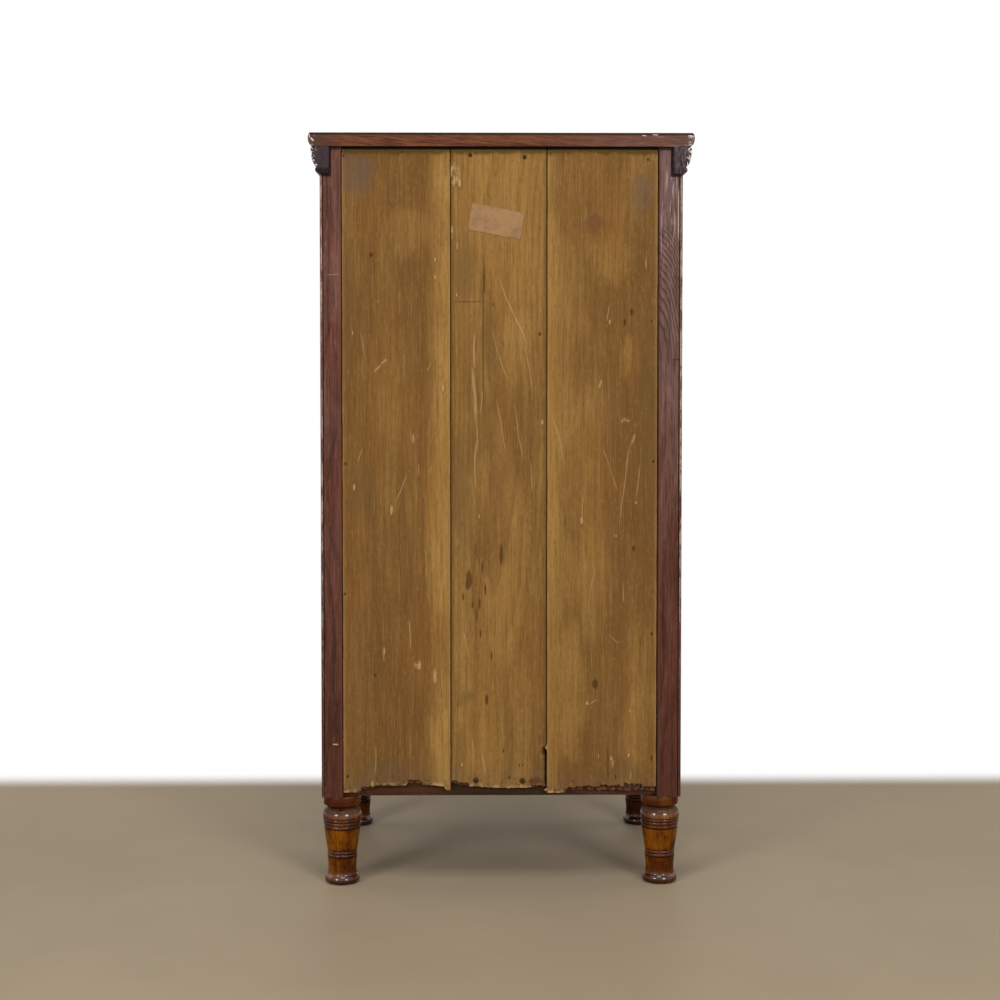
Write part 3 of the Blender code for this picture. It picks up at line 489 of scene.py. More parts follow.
# Bed moulding under the top: fillet, ovolo, quirk and bead, mitred at the front.
# An end round is how far the profile shrinks and how far the loop stands in from the back.
bed = {
    "projection": 0.0135,
    "fillet": 0.0022,
    "filletReach": 0.0062,
    "quirk": 0.0015,
    "neck": 0.0045,
    "beadRadius": 0.0048,
    "beadOffset": 0.0017,
    "gap": 0.0003,
    "letInStart": 0.022,
    "frontDepth": 0.0217,
    "endSize": 0.012,
    "endRounds": ((0.0, 0.0007), (0.0003, 0.0002), (0.0009, 0.0)),
    "tone": (0.052, 0.026, 0.026),
    "purple": (0.033, 0.021, 0.026),
    "streak": (0.170, 0.138, 0.148),
    "shadowBlack": (0.004, 0.002, 0.002),
    "specks": ((0.2965, 1.1687, 0.0018, 0.0016), (0.3008, 1.1758, 0.0018, 0.0012),
               (0.3046, 1.1868, 0.0015, 0.0050), (0.3028, 1.1800, 0.0010, 0.0012),
               (-0.3010, 1.1950, 0.0017, 0.0016), (-0.3040, 1.1900, 0.0016, 0.0030),
               (-0.3022, 1.1800, 0.0009, 0.0050), (-0.2985, 1.1700, 0.0008, 0.0045)),
}


def bedTint(f, seed):
    f.lay(0.55, bed["tone"])
    back = f.soft(f.y, topHigh.y - 0.0030, topHigh.y - 0.0010)
    f.dull = back
    grain = f.noise((460.0, 160.0, 60.0), seed + 19.0, 4.0, 0.6)
    lit = f.soft(f.x, 0.01, -0.01)
    endGrain = f.mix(f.soft(grain, 0.42, 0.70) * (0.12 + lit * 0.62), bed["purple"], bed["streak"])
    f.lay(back * 0.92, endGrain)
    beadTop = bedUnder + 2.0 * bed["beadRadius"] + bed["quirk"]
    shaded = f.soft(f.z, beadTop + 0.0006, beadTop - 0.0040) * back * (0.80 - lit * 0.45)
    f.lay(shaded, bed["shadowBlack"])
    outside = f.soft(abs(f.x), halfWidth + 0.0015, halfWidth + 0.009)
    flaked = f.soft(f.noise((230.0, 60.0, 230.0), seed + 23.0, 4.0, 0.7), 0.54, 0.62)
    bare = outside * f.soft(f.y, topHigh.y - 0.030, topHigh.y - 0.002) * flaked * 0.8
    f.lay(f.most(bare, f.marked(f.patch, f.x, f.z, bed["specks"], 0.5) * back), top["bare"])


def bedProfile(low, high, depth):
    beadLevel = low + bed["beadRadius"] + bed["quirk"]
    ovoloTop = high - bed["fillet"]
    ovoloLow = beadLevel + bed["beadRadius"] + bed["quirk"]
    inner = bed["filletReach"]
    reach = bed["projection"] - bed["neck"]
    points = [(-depth, low), (-depth, high), (inner, high), (inner, ovoloTop)]
    points += arc((bed["neck"], ovoloTop), (reach, ovoloTop - ovoloLow), 0, -90, 14)
    points += arc((bed["beadOffset"], beadLevel), (bed["beadRadius"], bed["beadRadius"]), 90, -90, 14)
    points += [(bed["beadOffset"], low)]
    return points


def makeBedMoulding():
    boxLow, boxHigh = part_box("bed_moulding_right")
    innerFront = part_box("fixed_pilaster")[0].y + bed["gap"] + bed["letInStart"]
    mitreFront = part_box("base_board")[0].y
    middle = (boxLow.z + boxHigh.z) / 2
    profile = bedProfile(boxLow.z, boxHigh.z, bedLetIn)
    for hand, sign in (("left", -1.0), ("right", 1.0)):
        start = [mitreFront - out + bed["gap"] if out > 0.0 else innerFront for out, level in profile]
        loops = [[(sign * (halfWidth + out), y, level) for y, (out, level) in zip(start, profile)]]
        for inset, back in bed["endRounds"]:
            scale = 1.0 - inset / bed["endSize"]
            loops.append([(sign * (halfWidth + scale * out), boxHigh.y - back,
                           middle + scale * (level - middle)) for out, level in profile])
        length = loft("bedMoulding_" + hand, loops)
        settle(length, "carcass", "stained_oak",
               stainedOak("bedOak_" + hand, "y", (0.0, 0.0, 1.1), 41.0 + sign, bedTint, 0.44, 0.08),
               "bed_moulding_" + hand)
    shallow = bedProfile(boxLow.z, boxHigh.z, bed["frontDepth"])
    ends = [[(sign * (halfWidth + max(out, 0.0)), mitreFront - out, level) for out, level in shallow]
            for sign in (-1.0, 1.0)]
    front = loft("bedMoulding_front", ends)
    settle(front, "carcass", "stained_oak", stainedOak("bedOak_front", "x", (0.0, -0.3, 1.1), 47.0),
           "bed_moulding_front")
    print("bed moulding made")


# Back boards: aged pine with ragged lower ends, cracks, dents, nails and stains, in metres across and up.
# An end is a share of the width from the board's left, seen from the front, and the level it stops at;
# a chip is where the face has broken away: from and to by share, how far up and how deep.
# A stroke is its two ends and its width, a nail or a screw its place and radius, a crack its place across
# and its two levels, a spur its level, half its height and its reach, a glow its middle, width and strength.
# Any other mark is its place and half its width and height. Rise is gold towards the top, or brown below 0.
pine = {
    "brown": (0.158, 0.076, 0.0215),
    "gold": (0.290, 0.158, 0.044),
    "pale": (0.430, 0.268, 0.112),
    "late": (0.104, 0.046, 0.0135),
    "dark": (0.050, 0.022, 0.006),
    "crevice": (0.070, 0.030, 0.004),
    "glow": (0.362, 0.200, 0.054),
    "grey": (0.116, 0.079, 0.057),
    "dusk": (0.120, 0.073, 0.027),
    "dustAndShade": (0.080, 0.052, 0.015),
    "shadowBlack": (0.003, 0.002, 0.001),
    "broken": (0.036, 0.013, 0.007),
    "splinter": (0.150, 0.068, 0.040),
    "orange": (0.235, 0.102, 0.024),
    "rust": (0.085, 0.034, 0.013),
    "chip": (0.520, 0.350, 0.190),
    "bleached": (0.380, 0.270, 0.215),
    "scratch": (0.500, 0.340, 0.160),
    "spill": (0.150, 0.060, 0.030),
    "ringWidth": 0.0068,
    "ringSway": 0.05,
    "edgeRound": 0.0013,
    "sink": 0.0003,
    "cup": 0.0006,
    "wave": 0.00018,
    "chipEdge": 0.003,
    "chipFall": 0.0015,
    "tornDepth": 0.002,
    "nailDent": 0.0007,
    "crack": (0.0009, 0.0012),
    "spurRoot": 0.010,
    "ragged": (0.0008, 0.0006),
    "gnawed": 0.001,
    "columnStep": 0.0028,
    "edgeColumns": (0.0003, 0.0008),
    "crackColumns": (-0.0013, -0.0006, 0.0, 0.0006, 0.0013),
    "rowStep": 0.0060,
    "endRows": (16, 0.0010),
    "lowRows": (29, 0.0022),
}

boards = {
    "right": {
        "seed": 3.0, "golden": 0.27, "sunk": False, "heart": (0.30, 0.05), "ringShow": 0.25,
        "glow": (0.0905, 0.038, 0.95), "rise": -0.40,
        "ends": (
            (0.0, 0.1570), (0.045, 0.1572), (0.055, 0.1632), (0.14, 0.1648), (0.28, 0.1668),
            (0.30, 0.1676), (0.37, 0.1677), (0.40, 0.1662), (0.53, 0.1644), (0.70, 0.1642),
            (0.72, 0.1590), (0.83, 0.1585), (0.85, 0.1540), (1.0, 0.1535)),
        "chips": (
            (0.26, 0.41, 0.0075, 0.0042), (0.52, 0.74, 0.003, 0.0018), (0.70, 0.84, 0.006, 0.0040)),
        "nails": (
            (0.2535, 1.184, 0.0011), (0.160, 1.190, 0.0010), (0.252, 0.689, 0.0013),
            (0.253, 0.478, 0.0012), (0.250, 0.180, 0.0013)),
        "strokes": (
            (0.158, 0.675, 0.175, 0.626, 0.0013), (0.149, 0.440, 0.152, 0.385, 0.0013),
            (0.228, 0.905, 0.219, 0.860, 0.0010), (0.120, 0.560, 0.123, 0.500, 0.0011),
            (0.139, 0.690, 0.137, 0.668, 0.0012), (0.222, 0.716, 0.232, 0.690, 0.0010),
            (0.112, 0.688, 0.116, 0.672, 0.0011), (0.206, 0.236, 0.207, 0.180, 0.0011),
            (0.2045, 0.8365, 0.1890, 0.8500, 0.0022), (0.1910, 0.8490, 0.1790, 0.8590, 0.0022),
            (0.1235, 0.8380, 0.1165, 0.8520, 0.0010), (0.1925, 0.3950, 0.1935, 0.3650, 0.0011)),
        "pale": (
            (0.094, 0.812, 0.0030, 0.0075), (0.238, 0.651, 0.0024, 0.0065),
            (0.1775, 0.614, 0.0031, 0.0105), (0.190, 0.385, 0.0022, 0.008), (0.210, 0.168, 0.0022, 0.006),
            (0.107, 1.018, 0.0022, 0.004), (0.107, 0.990, 0.0020, 0.005), (0.240, 0.900, 0.0014, 0.004)),
        "dark": ((0.210, 1.025, 0.0040, 0.0052), (0.205, 0.345, 0.0024, 0.0035)),
        "grey": ((0.232, 1.150, 0.034, 0.060), (0.218, 1.165, 0.022, 0.030)),
        "dusk": (
            (0.250, 0.930, 0.016, 0.160), (0.225, 0.640, 0.030, 0.060), (0.200, 0.180, 0.060, 0.040)),
        "gold": (
            (0.105, 0.560, 0.022, 0.170), (0.150, 1.060, 0.050, 0.060), (0.100, 0.250, 0.030, 0.060)),
        "flaked": ((0.1355, 0.362, 0.0070, 0.0100), (0.1070, 0.345, 0.0060, 0.0160)),
    },
    "middle": {
        "seed": 8.0, "golden": 0.60, "sunk": True, "heart": (0.028, 0.185), "ringShow": 0.44,
        "glow": (-0.020, 0.045, 0.36), "rise": 0.85,
        "ends": (
            (0.0, 0.1630), (0.05, 0.1624), (0.236, 0.1612), (0.40, 0.1606), (0.55, 0.1614),
            (0.70, 0.1628), (0.866, 0.1640), (0.93, 0.1664), (1.0, 0.1688)),
        "chips": ((0.80, 1.0, 0.006, 0.0034), (0.0, 0.16, 0.004, 0.0020)),
        "nails": ((0.0500, 1.1852, 0.0030), (-0.0370, 1.1820, 0.0030)),
        "strokes": (
            (0.044, 0.850, 0.044, 0.755, 0.0030), (0.043, 0.735, 0.043, 0.640, 0.0018),
            (-0.018, 0.790, -0.036, 0.690, 0.0012), (0.012, 0.800, -0.006, 0.700, 0.0012),
            (0.060, 0.420, 0.052, 0.370, 0.0012), (0.031, 0.812, 0.038, 0.770, 0.0010),
            (0.050, 0.245, 0.047, 0.205, 0.0012), (0.036, 0.222, 0.028, 0.180, 0.0013),
            (0.013, 0.915, -0.010, 0.815, 0.0010), (0.048, 0.800, 0.040, 0.700, 0.0014),
            (0.040, 0.905, 0.041, 0.840, 0.0018), (-0.045, 0.700, -0.052, 0.640, 0.0010),
            (-0.003, 0.990, -0.024, 0.920, 0.0013), (-0.018, 0.938, -0.042, 0.874, 0.0013),
            (-0.037, 0.892, -0.051, 0.800, 0.0012)),
        "pale": (
            (0.067, 1.142, 0.0034, 0.010), (0.036, 0.604, 0.0015, 0.004), (-0.066, 0.756, 0.0026, 0.005),
            (0.064, 0.1990, 0.0022, 0.004), (0.071, 1.040, 0.0022, 0.008), (0.072, 0.961, 0.0018, 0.004)),
        "dark": (
            (0.000, 0.541, 0.0037, 0.0200), (0.0525, 0.5010, 0.0056, 0.0190),
            (0.0550, 0.4930, 0.0040, 0.0120), (0.031, 0.520, 0.0016, 0.0120),
            (0.026, 0.484, 0.0022, 0.0130), (0.034, 0.413, 0.0016, 0.0080),
            (0.016, 0.377, 0.0016, 0.0090), (0.024, 0.305, 0.0032, 0.0110),
            # the mark at (-0.0685, 0.2215) is painted shade in the hollow above the bite
            (0.062, 0.473, 0.0018, 0.0080), (-0.0685, 0.2215, 0.0044, 0.0085),
            (-0.0130, 0.1775, 0.0022, 0.0045), (-0.0035, 0.2210, 0.0018, 0.0040),
            (-0.062, 0.898, 0.0028, 0.0044), (0.013, 0.946, 0.0014, 0.0030),
            (0.0275, 0.985, 0.0012, 0.0300), (0.035, 0.462, 0.0016, 0.0110),
            (0.047, 0.460, 0.0014, 0.0070), (-0.0290, 0.1975, 0.0012, 0.0035),
            (-0.0345, 0.1975, 0.0012, 0.0035), (0.055, 0.950, 0.0340, 0.0007)),
        "dusk": (
            (0.066, 0.655, 0.018, 0.150), (0.058, 0.305, 0.022, 0.014), (0.058, 1.000, 0.026, 0.070),
            (0.068, 0.200, 0.014, 0.060), (0.020, 0.900, 0.014, 0.080), (-0.060, 0.180, 0.020, 0.030)),
        "gold": (
            (-0.012, 1.166, 0.034, 0.018), (-0.038, 1.005, 0.036, 0.060), (0.000, 0.450, 0.055, 0.140),
            (-0.030, 0.900, 0.040, 0.060)),
        "screws": ((0.0416, 0.1726, 0.0049), (-0.0342, 0.1718, 0.0050)),
        "smudges": ((-0.0560, 0.1680, 0.0190, 0.0135),),
        "pockets": ((0.0413, 0.497, 0.0060, 0.056),),
        "flaked": ((0.076, 1.156, 0.013, 0.024), (0.083, 1.064, 0.006, 0.012)),
        "cracks": ((0.0295, 1.066, 0.744),),
        "bite": {"upper": 0.2297, "slope": 0.002, "deep": 0.0058, "hollow": 0.2150, "shallow": 0.0042,
                 "reach": 0.014},
    },
    "left": {
        "seed": 14.0, "golden": 0.48, "sunk": False, "heart": (-0.33, 0.02), "ringShow": 0.22,
        "glow": (-0.076, 0.024, 0.75), "stain": (-0.151, 1.078, 0.021), "rise": -0.28,
        "ends": (
            (0.0, 0.1545), (0.03, 0.1535), (0.30, 0.1550), (0.55, 0.1558), (0.68, 0.1565), (0.80, 0.1560),
            (0.83, 0.1527), (1.0, 0.1525)),
        "chips": (
            (-0.02, 0.14, 0.010, 0.0052), (0.12, 0.31, 0.0145, 0.0056), (0.29, 0.52, 0.0105, 0.0052),
            (0.50, 0.70, 0.0085, 0.0050), (0.69, 0.83, 0.0070, 0.0046)),
        "nails": ((-0.236, 1.178, 0.0012), (-0.246, 0.692, 0.0013), (-0.244, 0.412, 0.0013)),
        "strokes": (
            (-0.212, 0.736, -0.185, 0.574, 0.0011), (-0.223, 0.692, -0.216, 0.625, 0.0010),
            (-0.166, 0.722, -0.190, 0.637, 0.0009), (-0.133, 0.640, -0.129, 0.600, 0.0010),
            (-0.171, 0.414, -0.191, 0.395, 0.0010), (-0.145, 0.534, -0.145, 0.419, 0.0008),
            (-0.084, 0.770, -0.100, 0.690, 0.0012), (-0.208, 0.190, -0.209, 0.172, 0.0010),
            (-0.1748, 0.947, -0.1745, 0.918, 0.0013), (-0.1635, 0.8255, -0.1568, 0.8105, 0.0026),
            (-0.2154, 0.7387, -0.2118, 0.7200, 0.0024), (-0.1340, 0.296, -0.1490, 0.306, 0.0013),
            (-0.1950, 0.500, -0.1990, 0.460, 0.0009)),
        "pale": (
            (-0.130, 0.597, 0.0030, 0.0080), (-0.1745, 0.9180, 0.0022, 0.0050),
            (-0.2177, 0.6258, 0.0018, 0.0030), (-0.233, 1.013, 0.0014, 0.012),
            (-0.185, 0.572, 0.0020, 0.003), (-0.139, 0.299, 0.0030, 0.004),
            (-0.179, 0.2085, 0.0026, 0.005), (-0.209, 0.287, 0.0022, 0.003),
            (-0.158, 0.212, 0.0012, 0.004), (-0.207, 0.214, 0.0030, 0.004)),
        "dark": (
            (-0.214, 0.551, 0.0032, 0.0060), (-0.210, 0.9335, 0.0030, 0.0078),
            (-0.2445, 0.2090, 0.0019, 0.0065), (-0.152, 0.330, 0.0060, 0.0100),
            (-0.186, 0.1780, 0.0016, 0.0060), (-0.1993, 0.9170, 0.0026, 0.0070),
            (-0.2425, 0.919, 0.0013, 0.0022)),
        "grey": ((-0.228, 1.130, 0.026, 0.050),),
        "dusk": ((-0.238, 0.760, 0.020, 0.260), (-0.190, 0.185, 0.050, 0.030)),
        "gold": (
            (-0.105, 0.330, 0.045, 0.150), (-0.170, 1.020, 0.050, 0.050), (-0.086, 0.620, 0.014, 0.200),
            (-0.205, 0.858, 0.012, 0.040)),
        "flaked": ((-0.199, 0.7605, 0.0085, 0.0045),),
        "cracks": ((-0.1737, 0.232, 0.168),),
        "spurs": ((0.2262, 0.0042, 0.0046), (0.1568, 0.0030, 0.0062)),
    },
}
for marks in boards.values():
    for kind in ("grey", "cracks", "screws", "smudges", "pockets", "spurs", "stain", "bite"):
        marks.setdefault(kind, ())


# Noise that a board's layers share, and places bent by it
def pineGrain(f, seed):
    f.fibre = f.noise((430.0, 430.0, 13.0), seed + 3.0, 4.0, 0.6)
    f.hair = f.noise((1100.0, 1100.0, 60.0), seed + 4.0, 2.0, 0.6)
    f.mottle = f.noise((210.0, 210.0, 105.0), seed + 6.0, 3.0, 0.6)
    f.drift = f.noise((9.0, 9.0, 3.0), seed + 7.0, 3.0, 0.5)
    f.smear = f.noise((36.0, 36.0, 13.0), seed + 9.0, 4.0, 0.65)
    f.shake = f.noise((30.0, 30.0, 9.0), seed + 1.0) - 0.5
    f.across = f.x + f.shake * 0.0016
    f.roamX = f.x + (f.smear - 0.5) * 0.030
    f.roamZ = f.z + (f.noise((24.0, 24.0, 16.0), seed + 8.0, 4.0, 0.6) - 0.5) * 0.12
    f.above = f.node("ShaderNodeAttribute", {"attribute_name": "above"}, {}, "Fac")
    f.torn = f.node("ShaderNodeAttribute", {"attribute_name": "torn"}, {}, "Fac")


# Wood from brown to gold, with rings and fibres over it
def pineTone(f, board):
    seed = board["seed"]
    streak = f.noise((75.0, 75.0, 1.6), seed + 5.0)
    start = 0.39 + (0.5 - board["golden"]) * 0.35
    tone = f.soft(streak * 0.22 + f.drift * 0.58 + f.smear * 0.20, start, start + 0.26)
    tone = f.most(tone, f.marked(f.patch, f.roamX, f.roamZ, board["gold"], 1.0) * 0.85)
    f.colour = f.mix(tone, pine["brown"], pine["gold"])
    rise = f.soft(f.z, 0.72, 1.05) * abs(board["rise"])
    f.lay(rise, pine["gold"] if board["rise"] > 0.0 else pine["brown"])
    middle, width, strength = board["glow"]
    broken = 0.35 + 0.65 * f.soft(f.drift * 0.6 + f.smear * 0.4, 0.32, 0.58)
    f.lay(f.near(f.across, middle, width, 0.0) * broken * strength, pine["glow"])
    warm = f.noise((20.0, 20.0, 5.0), seed + 10.0, 2.0, 0.5)
    f.lay(f.soft(warm, 0.46, 0.68) * 0.35, pine["orange"])
    phase = rings(f, "z", (*board["heart"], 0.0), pine["ringWidth"], seed, pine["ringSway"])
    f.late = f.soft(phase, 0.30, 0.95) * f.soft(phase, 1.0, 0.95)
    f.lay(f.late * board["ringShow"] * 0.62, pine["late"])
    grains = ((f.fibre, (0.50, 0.30), 0.42, (0.52, 0.72), 0.20),
              (f.hair, (0.48, 0.30), 0.32, (0.54, 0.74), 0.18),
              (f.mottle, (0.46, 0.28), 0.30, (0.56, 0.76), 0.22))
    for grain, darkRange, darkness, paleRange, paleness in grains:
        f.lay(f.soft(grain, *darkRange) * darkness, pine["late"])
        f.lay(f.soft(grain, *paleRange) * paleness, pine["pale"])


# Long edges handled bright, or darkened by painted shade where the board lies sunk between the others
def pineEdges(f, board, low, high):
    side = f.least(f.x - low.x, high.x - f.x)
    if board["sunk"]:
        # painted shade along the edges of the sunk board
        f.lay(f.soft(side + f.shake * 0.004, 0.0080, 0.0010) * 0.50, pine["dustAndShade"])
        f.lay(f.soft(side, 0.0018, 0.0007) * 0.70, pine["crevice"])
    else:
        f.lay(f.soft(side + f.shake * 0.005, 0.0070, 0.0015) * 0.45, pine["gold"])
        f.lay(f.soft(side, 0.0022, 0.0008) * f.soft(f.smear, 0.38, 0.56) * 0.5, pine["pale"])


# Greyed places, the dark band under the top that is partly dust and partly painted shade, the painted black
# shadow right under the top, the grimy lower end, and stains
def pineGrimeAndShade(f, board, upper):
    for kind, strength in (("grey", 0.50), ("dusk", 0.42)):
        for mark in board[kind]:
            f.lay(f.patch(f.roamX, f.roamZ, mark, 1.0) * strength, pine[kind])
    # painted shade under the top's overhang: a dusty dark band, then black next to the top
    band = f.z + (f.smear - 0.5) * 0.022
    f.lay(f.soft(band, upper - 0.0135, upper - 0.0075) * 0.80, pine["dustAndShade"])
    f.lay(f.soft(f.z, upper - 0.0050, upper - 0.0036) * 0.96, pine["shadowBlack"])
    f.lay(f.soft(f.above + (f.smear - 0.5) * 0.05, 0.050, 0.004) * 0.22, pine["grey"])
    for mark in board["smudges"]:
        smudge = f.patch(f.x + (f.smear - 0.5) * 0.024, f.z + (f.mottle - 0.5) * 0.010, mark, 0.9)
        f.lay(smudge * 0.75, pine["rust"])
    for x, z, wide, tall in board["pockets"]:
        sideways = (f.x + (f.smear - 0.5) * 0.012 - x) / wide
        reach = sideways * sideways + abs((f.z - z) / tall) + (f.mottle - 0.5) * 0.6
        f.lay(f.near(reach, 1.0, 0.36, 0.06) * f.soft(f.smear, 0.38, 0.54) * 0.5, pine["rust"])
    if board["stain"]:
        x, z, size = board["stain"]
        reach = abs(f.x - x) + abs(f.z - z) + (f.smear - 0.5) * 0.016
        f.lay(f.soft(reach, size, size - 0.009) * 0.60, pine["spill"])


# Scuffs scattered by cells, then the listed marks
def pineMarks(f, board):
    seed = board["seed"]
    cell = f.vectors("MULTIPLY", f.spot, (34.0, 1.0, 11.0))
    flecks = f.node("ShaderNodeTexVoronoi", {}, {"Vector": cell, "Scale": 1.0}).socket.node
    pick = f.node("ShaderNodeSeparateXYZ", {}, {0: Wire(f, flecks.outputs["Color"])})
    fleck = f.soft(Wire(f, flecks.outputs["Distance"]), 0.12, 0.04) * f.soft(pick, 0.82, 0.86)
    pale = fleck * f.soft(f.fibre, 0.40, 0.58) * 0.8
    haired = 0.4 + 0.6 * f.soft(f.hair, 0.30, 0.55)
    pale = f.most(pale, f.marked(f.patch, f.across, f.z, board["pale"], 0.85) * haired)
    swerve = f.x + (f.noise((10.0, 10.0, 8.0), seed + 17.0, 1.0, 0.4) - 0.5) * 0.034
    pale = f.most(pale, f.marked(f.stroke, swerve, f.z, board["strokes"]) * 0.62)
    looseX = f.x + (f.smear - 0.5) * 0.020
    looseZ = f.z + (f.mottle - 0.5) * 0.024
    flakes = f.soft(f.mottle * 0.55 + f.fibre * 0.45, 0.44, 0.56) * 0.85
    f.pale = f.most(pale, f.marked(f.patch, looseX, looseZ, board["flaked"], 0.9) * flakes)
    around = [(x, z - 0.2 * tall, 1.7 * wide, 1.15 * tall) for x, z, wide, tall in board["pale"]]
    dented = f.most(fleck * 0.3, f.marked(f.patch, f.across, f.z, around, 0.5))
    f.lay(dented * 0.35, pine["late"])
    f.lay(f.pale * 0.72, pine["scratch"])
    dark = f.soft(f.noise((230.0, 230.0, 40.0), seed + 12.0, 2.0), 0.72, 0.79) * 0.4
    dark = f.most(dark, f.marked(f.patch, f.across, f.z, board["dark"], 0.8) * 0.95)
    heads = [(x, z, radius + 0.0010, radius + 0.0018) for x, z, radius in board["nails"] + board["screws"]]
    dark = f.most(dark, f.marked(f.patch, f.across, f.z, heads, 0.6) * 0.8)
    cracks = [(x, upper, x, lower, 0.0008) for x, upper, lower in board["cracks"]]
    f.dark = f.most(dark, f.marked(f.stroke, f.across, f.z, cracks) * 0.75)
    f.lay(f.dark * 0.76, pine["dark"])


# Torn fibres at the lower end: pale splinters along the edge, dark broken wood behind them
def pineTorn(f, seed):
    bits = f.noise((170.0, 170.0, 150.0), seed + 15.0, 4.0, 0.6)
    f.lay(f.soft(f.above, 0.0075, 0.0008) * f.soft(bits, 0.46, 0.62) * 0.60, pine["chip"])
    f.lay(f.soft(f.above, 0.024, 0.003) * f.soft(bits, 0.44, 0.32) * 0.75, pine["dark"])
    broken = f.mix(f.soft(bits, 0.40, 0.66) * 0.70, pine["broken"], pine["splinter"])
    specks = f.soft(f.noise((240.0, 240.0, 420.0), seed + 16.0, 2.0), 0.54, 0.68)
    broken = f.mix(specks * f.soft(f.x, -0.20, -0.235) * 0.42, broken, pine["bleached"])
    f.lay(f.torn * 0.92, broken)


def pineFinish(hand, board, low, high):
    f = Finish("backPine_" + hand)
    pineGrain(f, board["seed"])
    pineTone(f, board)
    pineEdges(f, board, low, high)
    pineGrimeAndShade(f, board, high.z)
    pineMarks(f, board)
    pineTorn(f, board["seed"])
    height = f.fibre * 0.5 + f.hair * 0.3 + f.late * 0.2 + f.smear * 0.5 - f.dark * 1.2 - f.pale * 0.8
    rough = 0.58 + (f.smear - 0.5) * 0.30 + f.dark * 0.15
    return f.surface(rough, height, 0.0005, shine=0.02)


def endLevel(board, share):
    points = board["ends"]
    for (x0, level0), (x1, level1) in zip(points, points[1:]):
        if share <= x1:
            return level0 + (level1 - level0) * (share - x0) / (x1 - x0)
    return points[-1][1]


# How deep the face has broken away above the lower end
def brokenDepth(board, x, z, share, width, above):
    seed = board["seed"]
    broken = 0.0
    for start, end, tall, deep in board["chips"]:
        if start < share < end:
            torn = 0.80 + 0.45 * noise.noise((x * 150.0, seed, 0.0))
            torn += 0.2 * noise.noise((x * 500.0, seed, 4.0))
            edge = min(1.0, min(share - start, end - share) * width / pine["chipEdge"])
            fall = min(1.0, max(0.0, (tall * torn * edge - above) / pine["chipFall"]))
            rough = 1.0 + 0.40 * noise.noise((x * 420.0, seed, z * 300.0))
            broken = max(broken, deep * fall * rough)
    return broken


# How far the face lies below the board's highest plane, and how much of that is broken wood
def boardDip(board, x, z, share, width, above):
    side = min(share, 1.0 - share) * width
    radius = pine["edgeRound"]
    dip = pine["sink"] + pine["cup"] * (2.0 * share - 1.0) ** 2
    if side < radius:
        dip += radius - math.sqrt(radius * radius - (radius - side) ** 2)
    dip += pine["wave"] * (1.0 + noise.noise((x * 26.0, board["seed"], z * 7.0)))
    for nailX, nailZ, size in board["nails"] + board["screws"]:
        reach = math.dist((x, z), (nailX, nailZ)) / (1.6 * size)
        dip += pine["nailDent"] * math.exp(-reach * reach)
    crackDepth, crackHalf = pine["crack"]
    for crackX, start, end in board["cracks"]:
        if end < z < start:
            run = min(start - z, z - end) / (start - end)
            dip += crackDepth * min(1.0, 6.0 * run) * max(0.0, 1.0 - abs(x - crackX) / crackHalf)
    broken = brokenDepth(board, x, z, share, width, above)
    return dip + broken, min(1.0, broken / pine["tornDepth"])


# Sideways moves of the long edges: gnawed away on one, splinters left standing on the other
def edgeShift(board, z, share, width):
    bite = board["bite"]
    fromLeft = share * width
    fromRight = (1.0 - share) * width
    shift = 0.0
    if bite and z < bite["upper"] and fromLeft < bite["reach"]:
        deep = bite["deep"] if z > bite["hollow"] else bite["shallow"]
        deep *= min(1.0, (bite["upper"] - z) / bite["slope"])
        deep *= 0.85 + 0.35 * noise.noise((z * 170.0, 7.0, 0.0))
        shift += deep * (1.0 - fromLeft / bite["reach"])
    for level, half, reach in board["spurs"]:
        if fromRight < pine["spurRoot"]:
            shift += reach * max(0.0, 1.0 - abs(z - level) / half) * (1.0 - fromRight / pine["spurRoot"])
    return shift


def boardShares(board, low, width):
    steps = round(width / pine["columnStep"])
    shares = {i / steps for i in range(steps + 1)}
    for inset in pine["edgeColumns"]:
        shares |= {inset / width, 1.0 - inset / width}
    for crack in board["cracks"]:
        shares |= {(crack[0] - low.x + off) / width for off in pine["crackColumns"]}
    return sorted(shares)


# The back face in rows of points, closest near the torn end, and where each stood before its edge moved
def boardFace(mesh, board, low, high):
    width = high.x - low.x
    shares = boardShares(board, low, width)
    count, step = pine["endRows"]
    levels = [i * step for i in range(count)]
    count, step = pine["lowRows"]
    levels += [levels[-1] + (i + 1) * step for i in range(count)]
    fine = levels[-1]
    rows = round((high.z - low.z - fine) / pine["rowStep"])
    aboveLayer = mesh.verts.layers.float.new("above")
    tornLayer = mesh.verts.layers.float.new("torn")
    grid = []
    whole = {}
    for index in range(len(levels) + rows):
        line = []
        for share in shares:
            x = low.x + share * width
            ragged = pine["ragged"][0] * noise.noise((x * 330.0, board["seed"], 1.0))
            ragged += pine["ragged"][1] * noise.noise((x * 900.0, 2.0, 3.0))
            end = max(low.z, endLevel(board, share) + ragged)
            if index < len(levels):
                z = end + levels[index]
            else:
                z = end + fine + (index - len(levels) + 1) / rows * (high.z - end - fine)
            dip, torn = boardDip(board, x, z, share, width, z - end)
            vert = mesh.verts.new((x + edgeShift(board, z, share, width), high.y - dip, z))
            vert[aboveLayer] = z - end
            vert[tornLayer] = torn
            line.append(vert)
            whole[vert] = x
        grid.append(line)
    for lower, upper in zip(grid, grid[1:]):
        for i in range(len(shares) - 1):
            mesh.faces.new((lower[i], lower[i + 1], upper[i + 1], upper[i]))
    return grid, whole


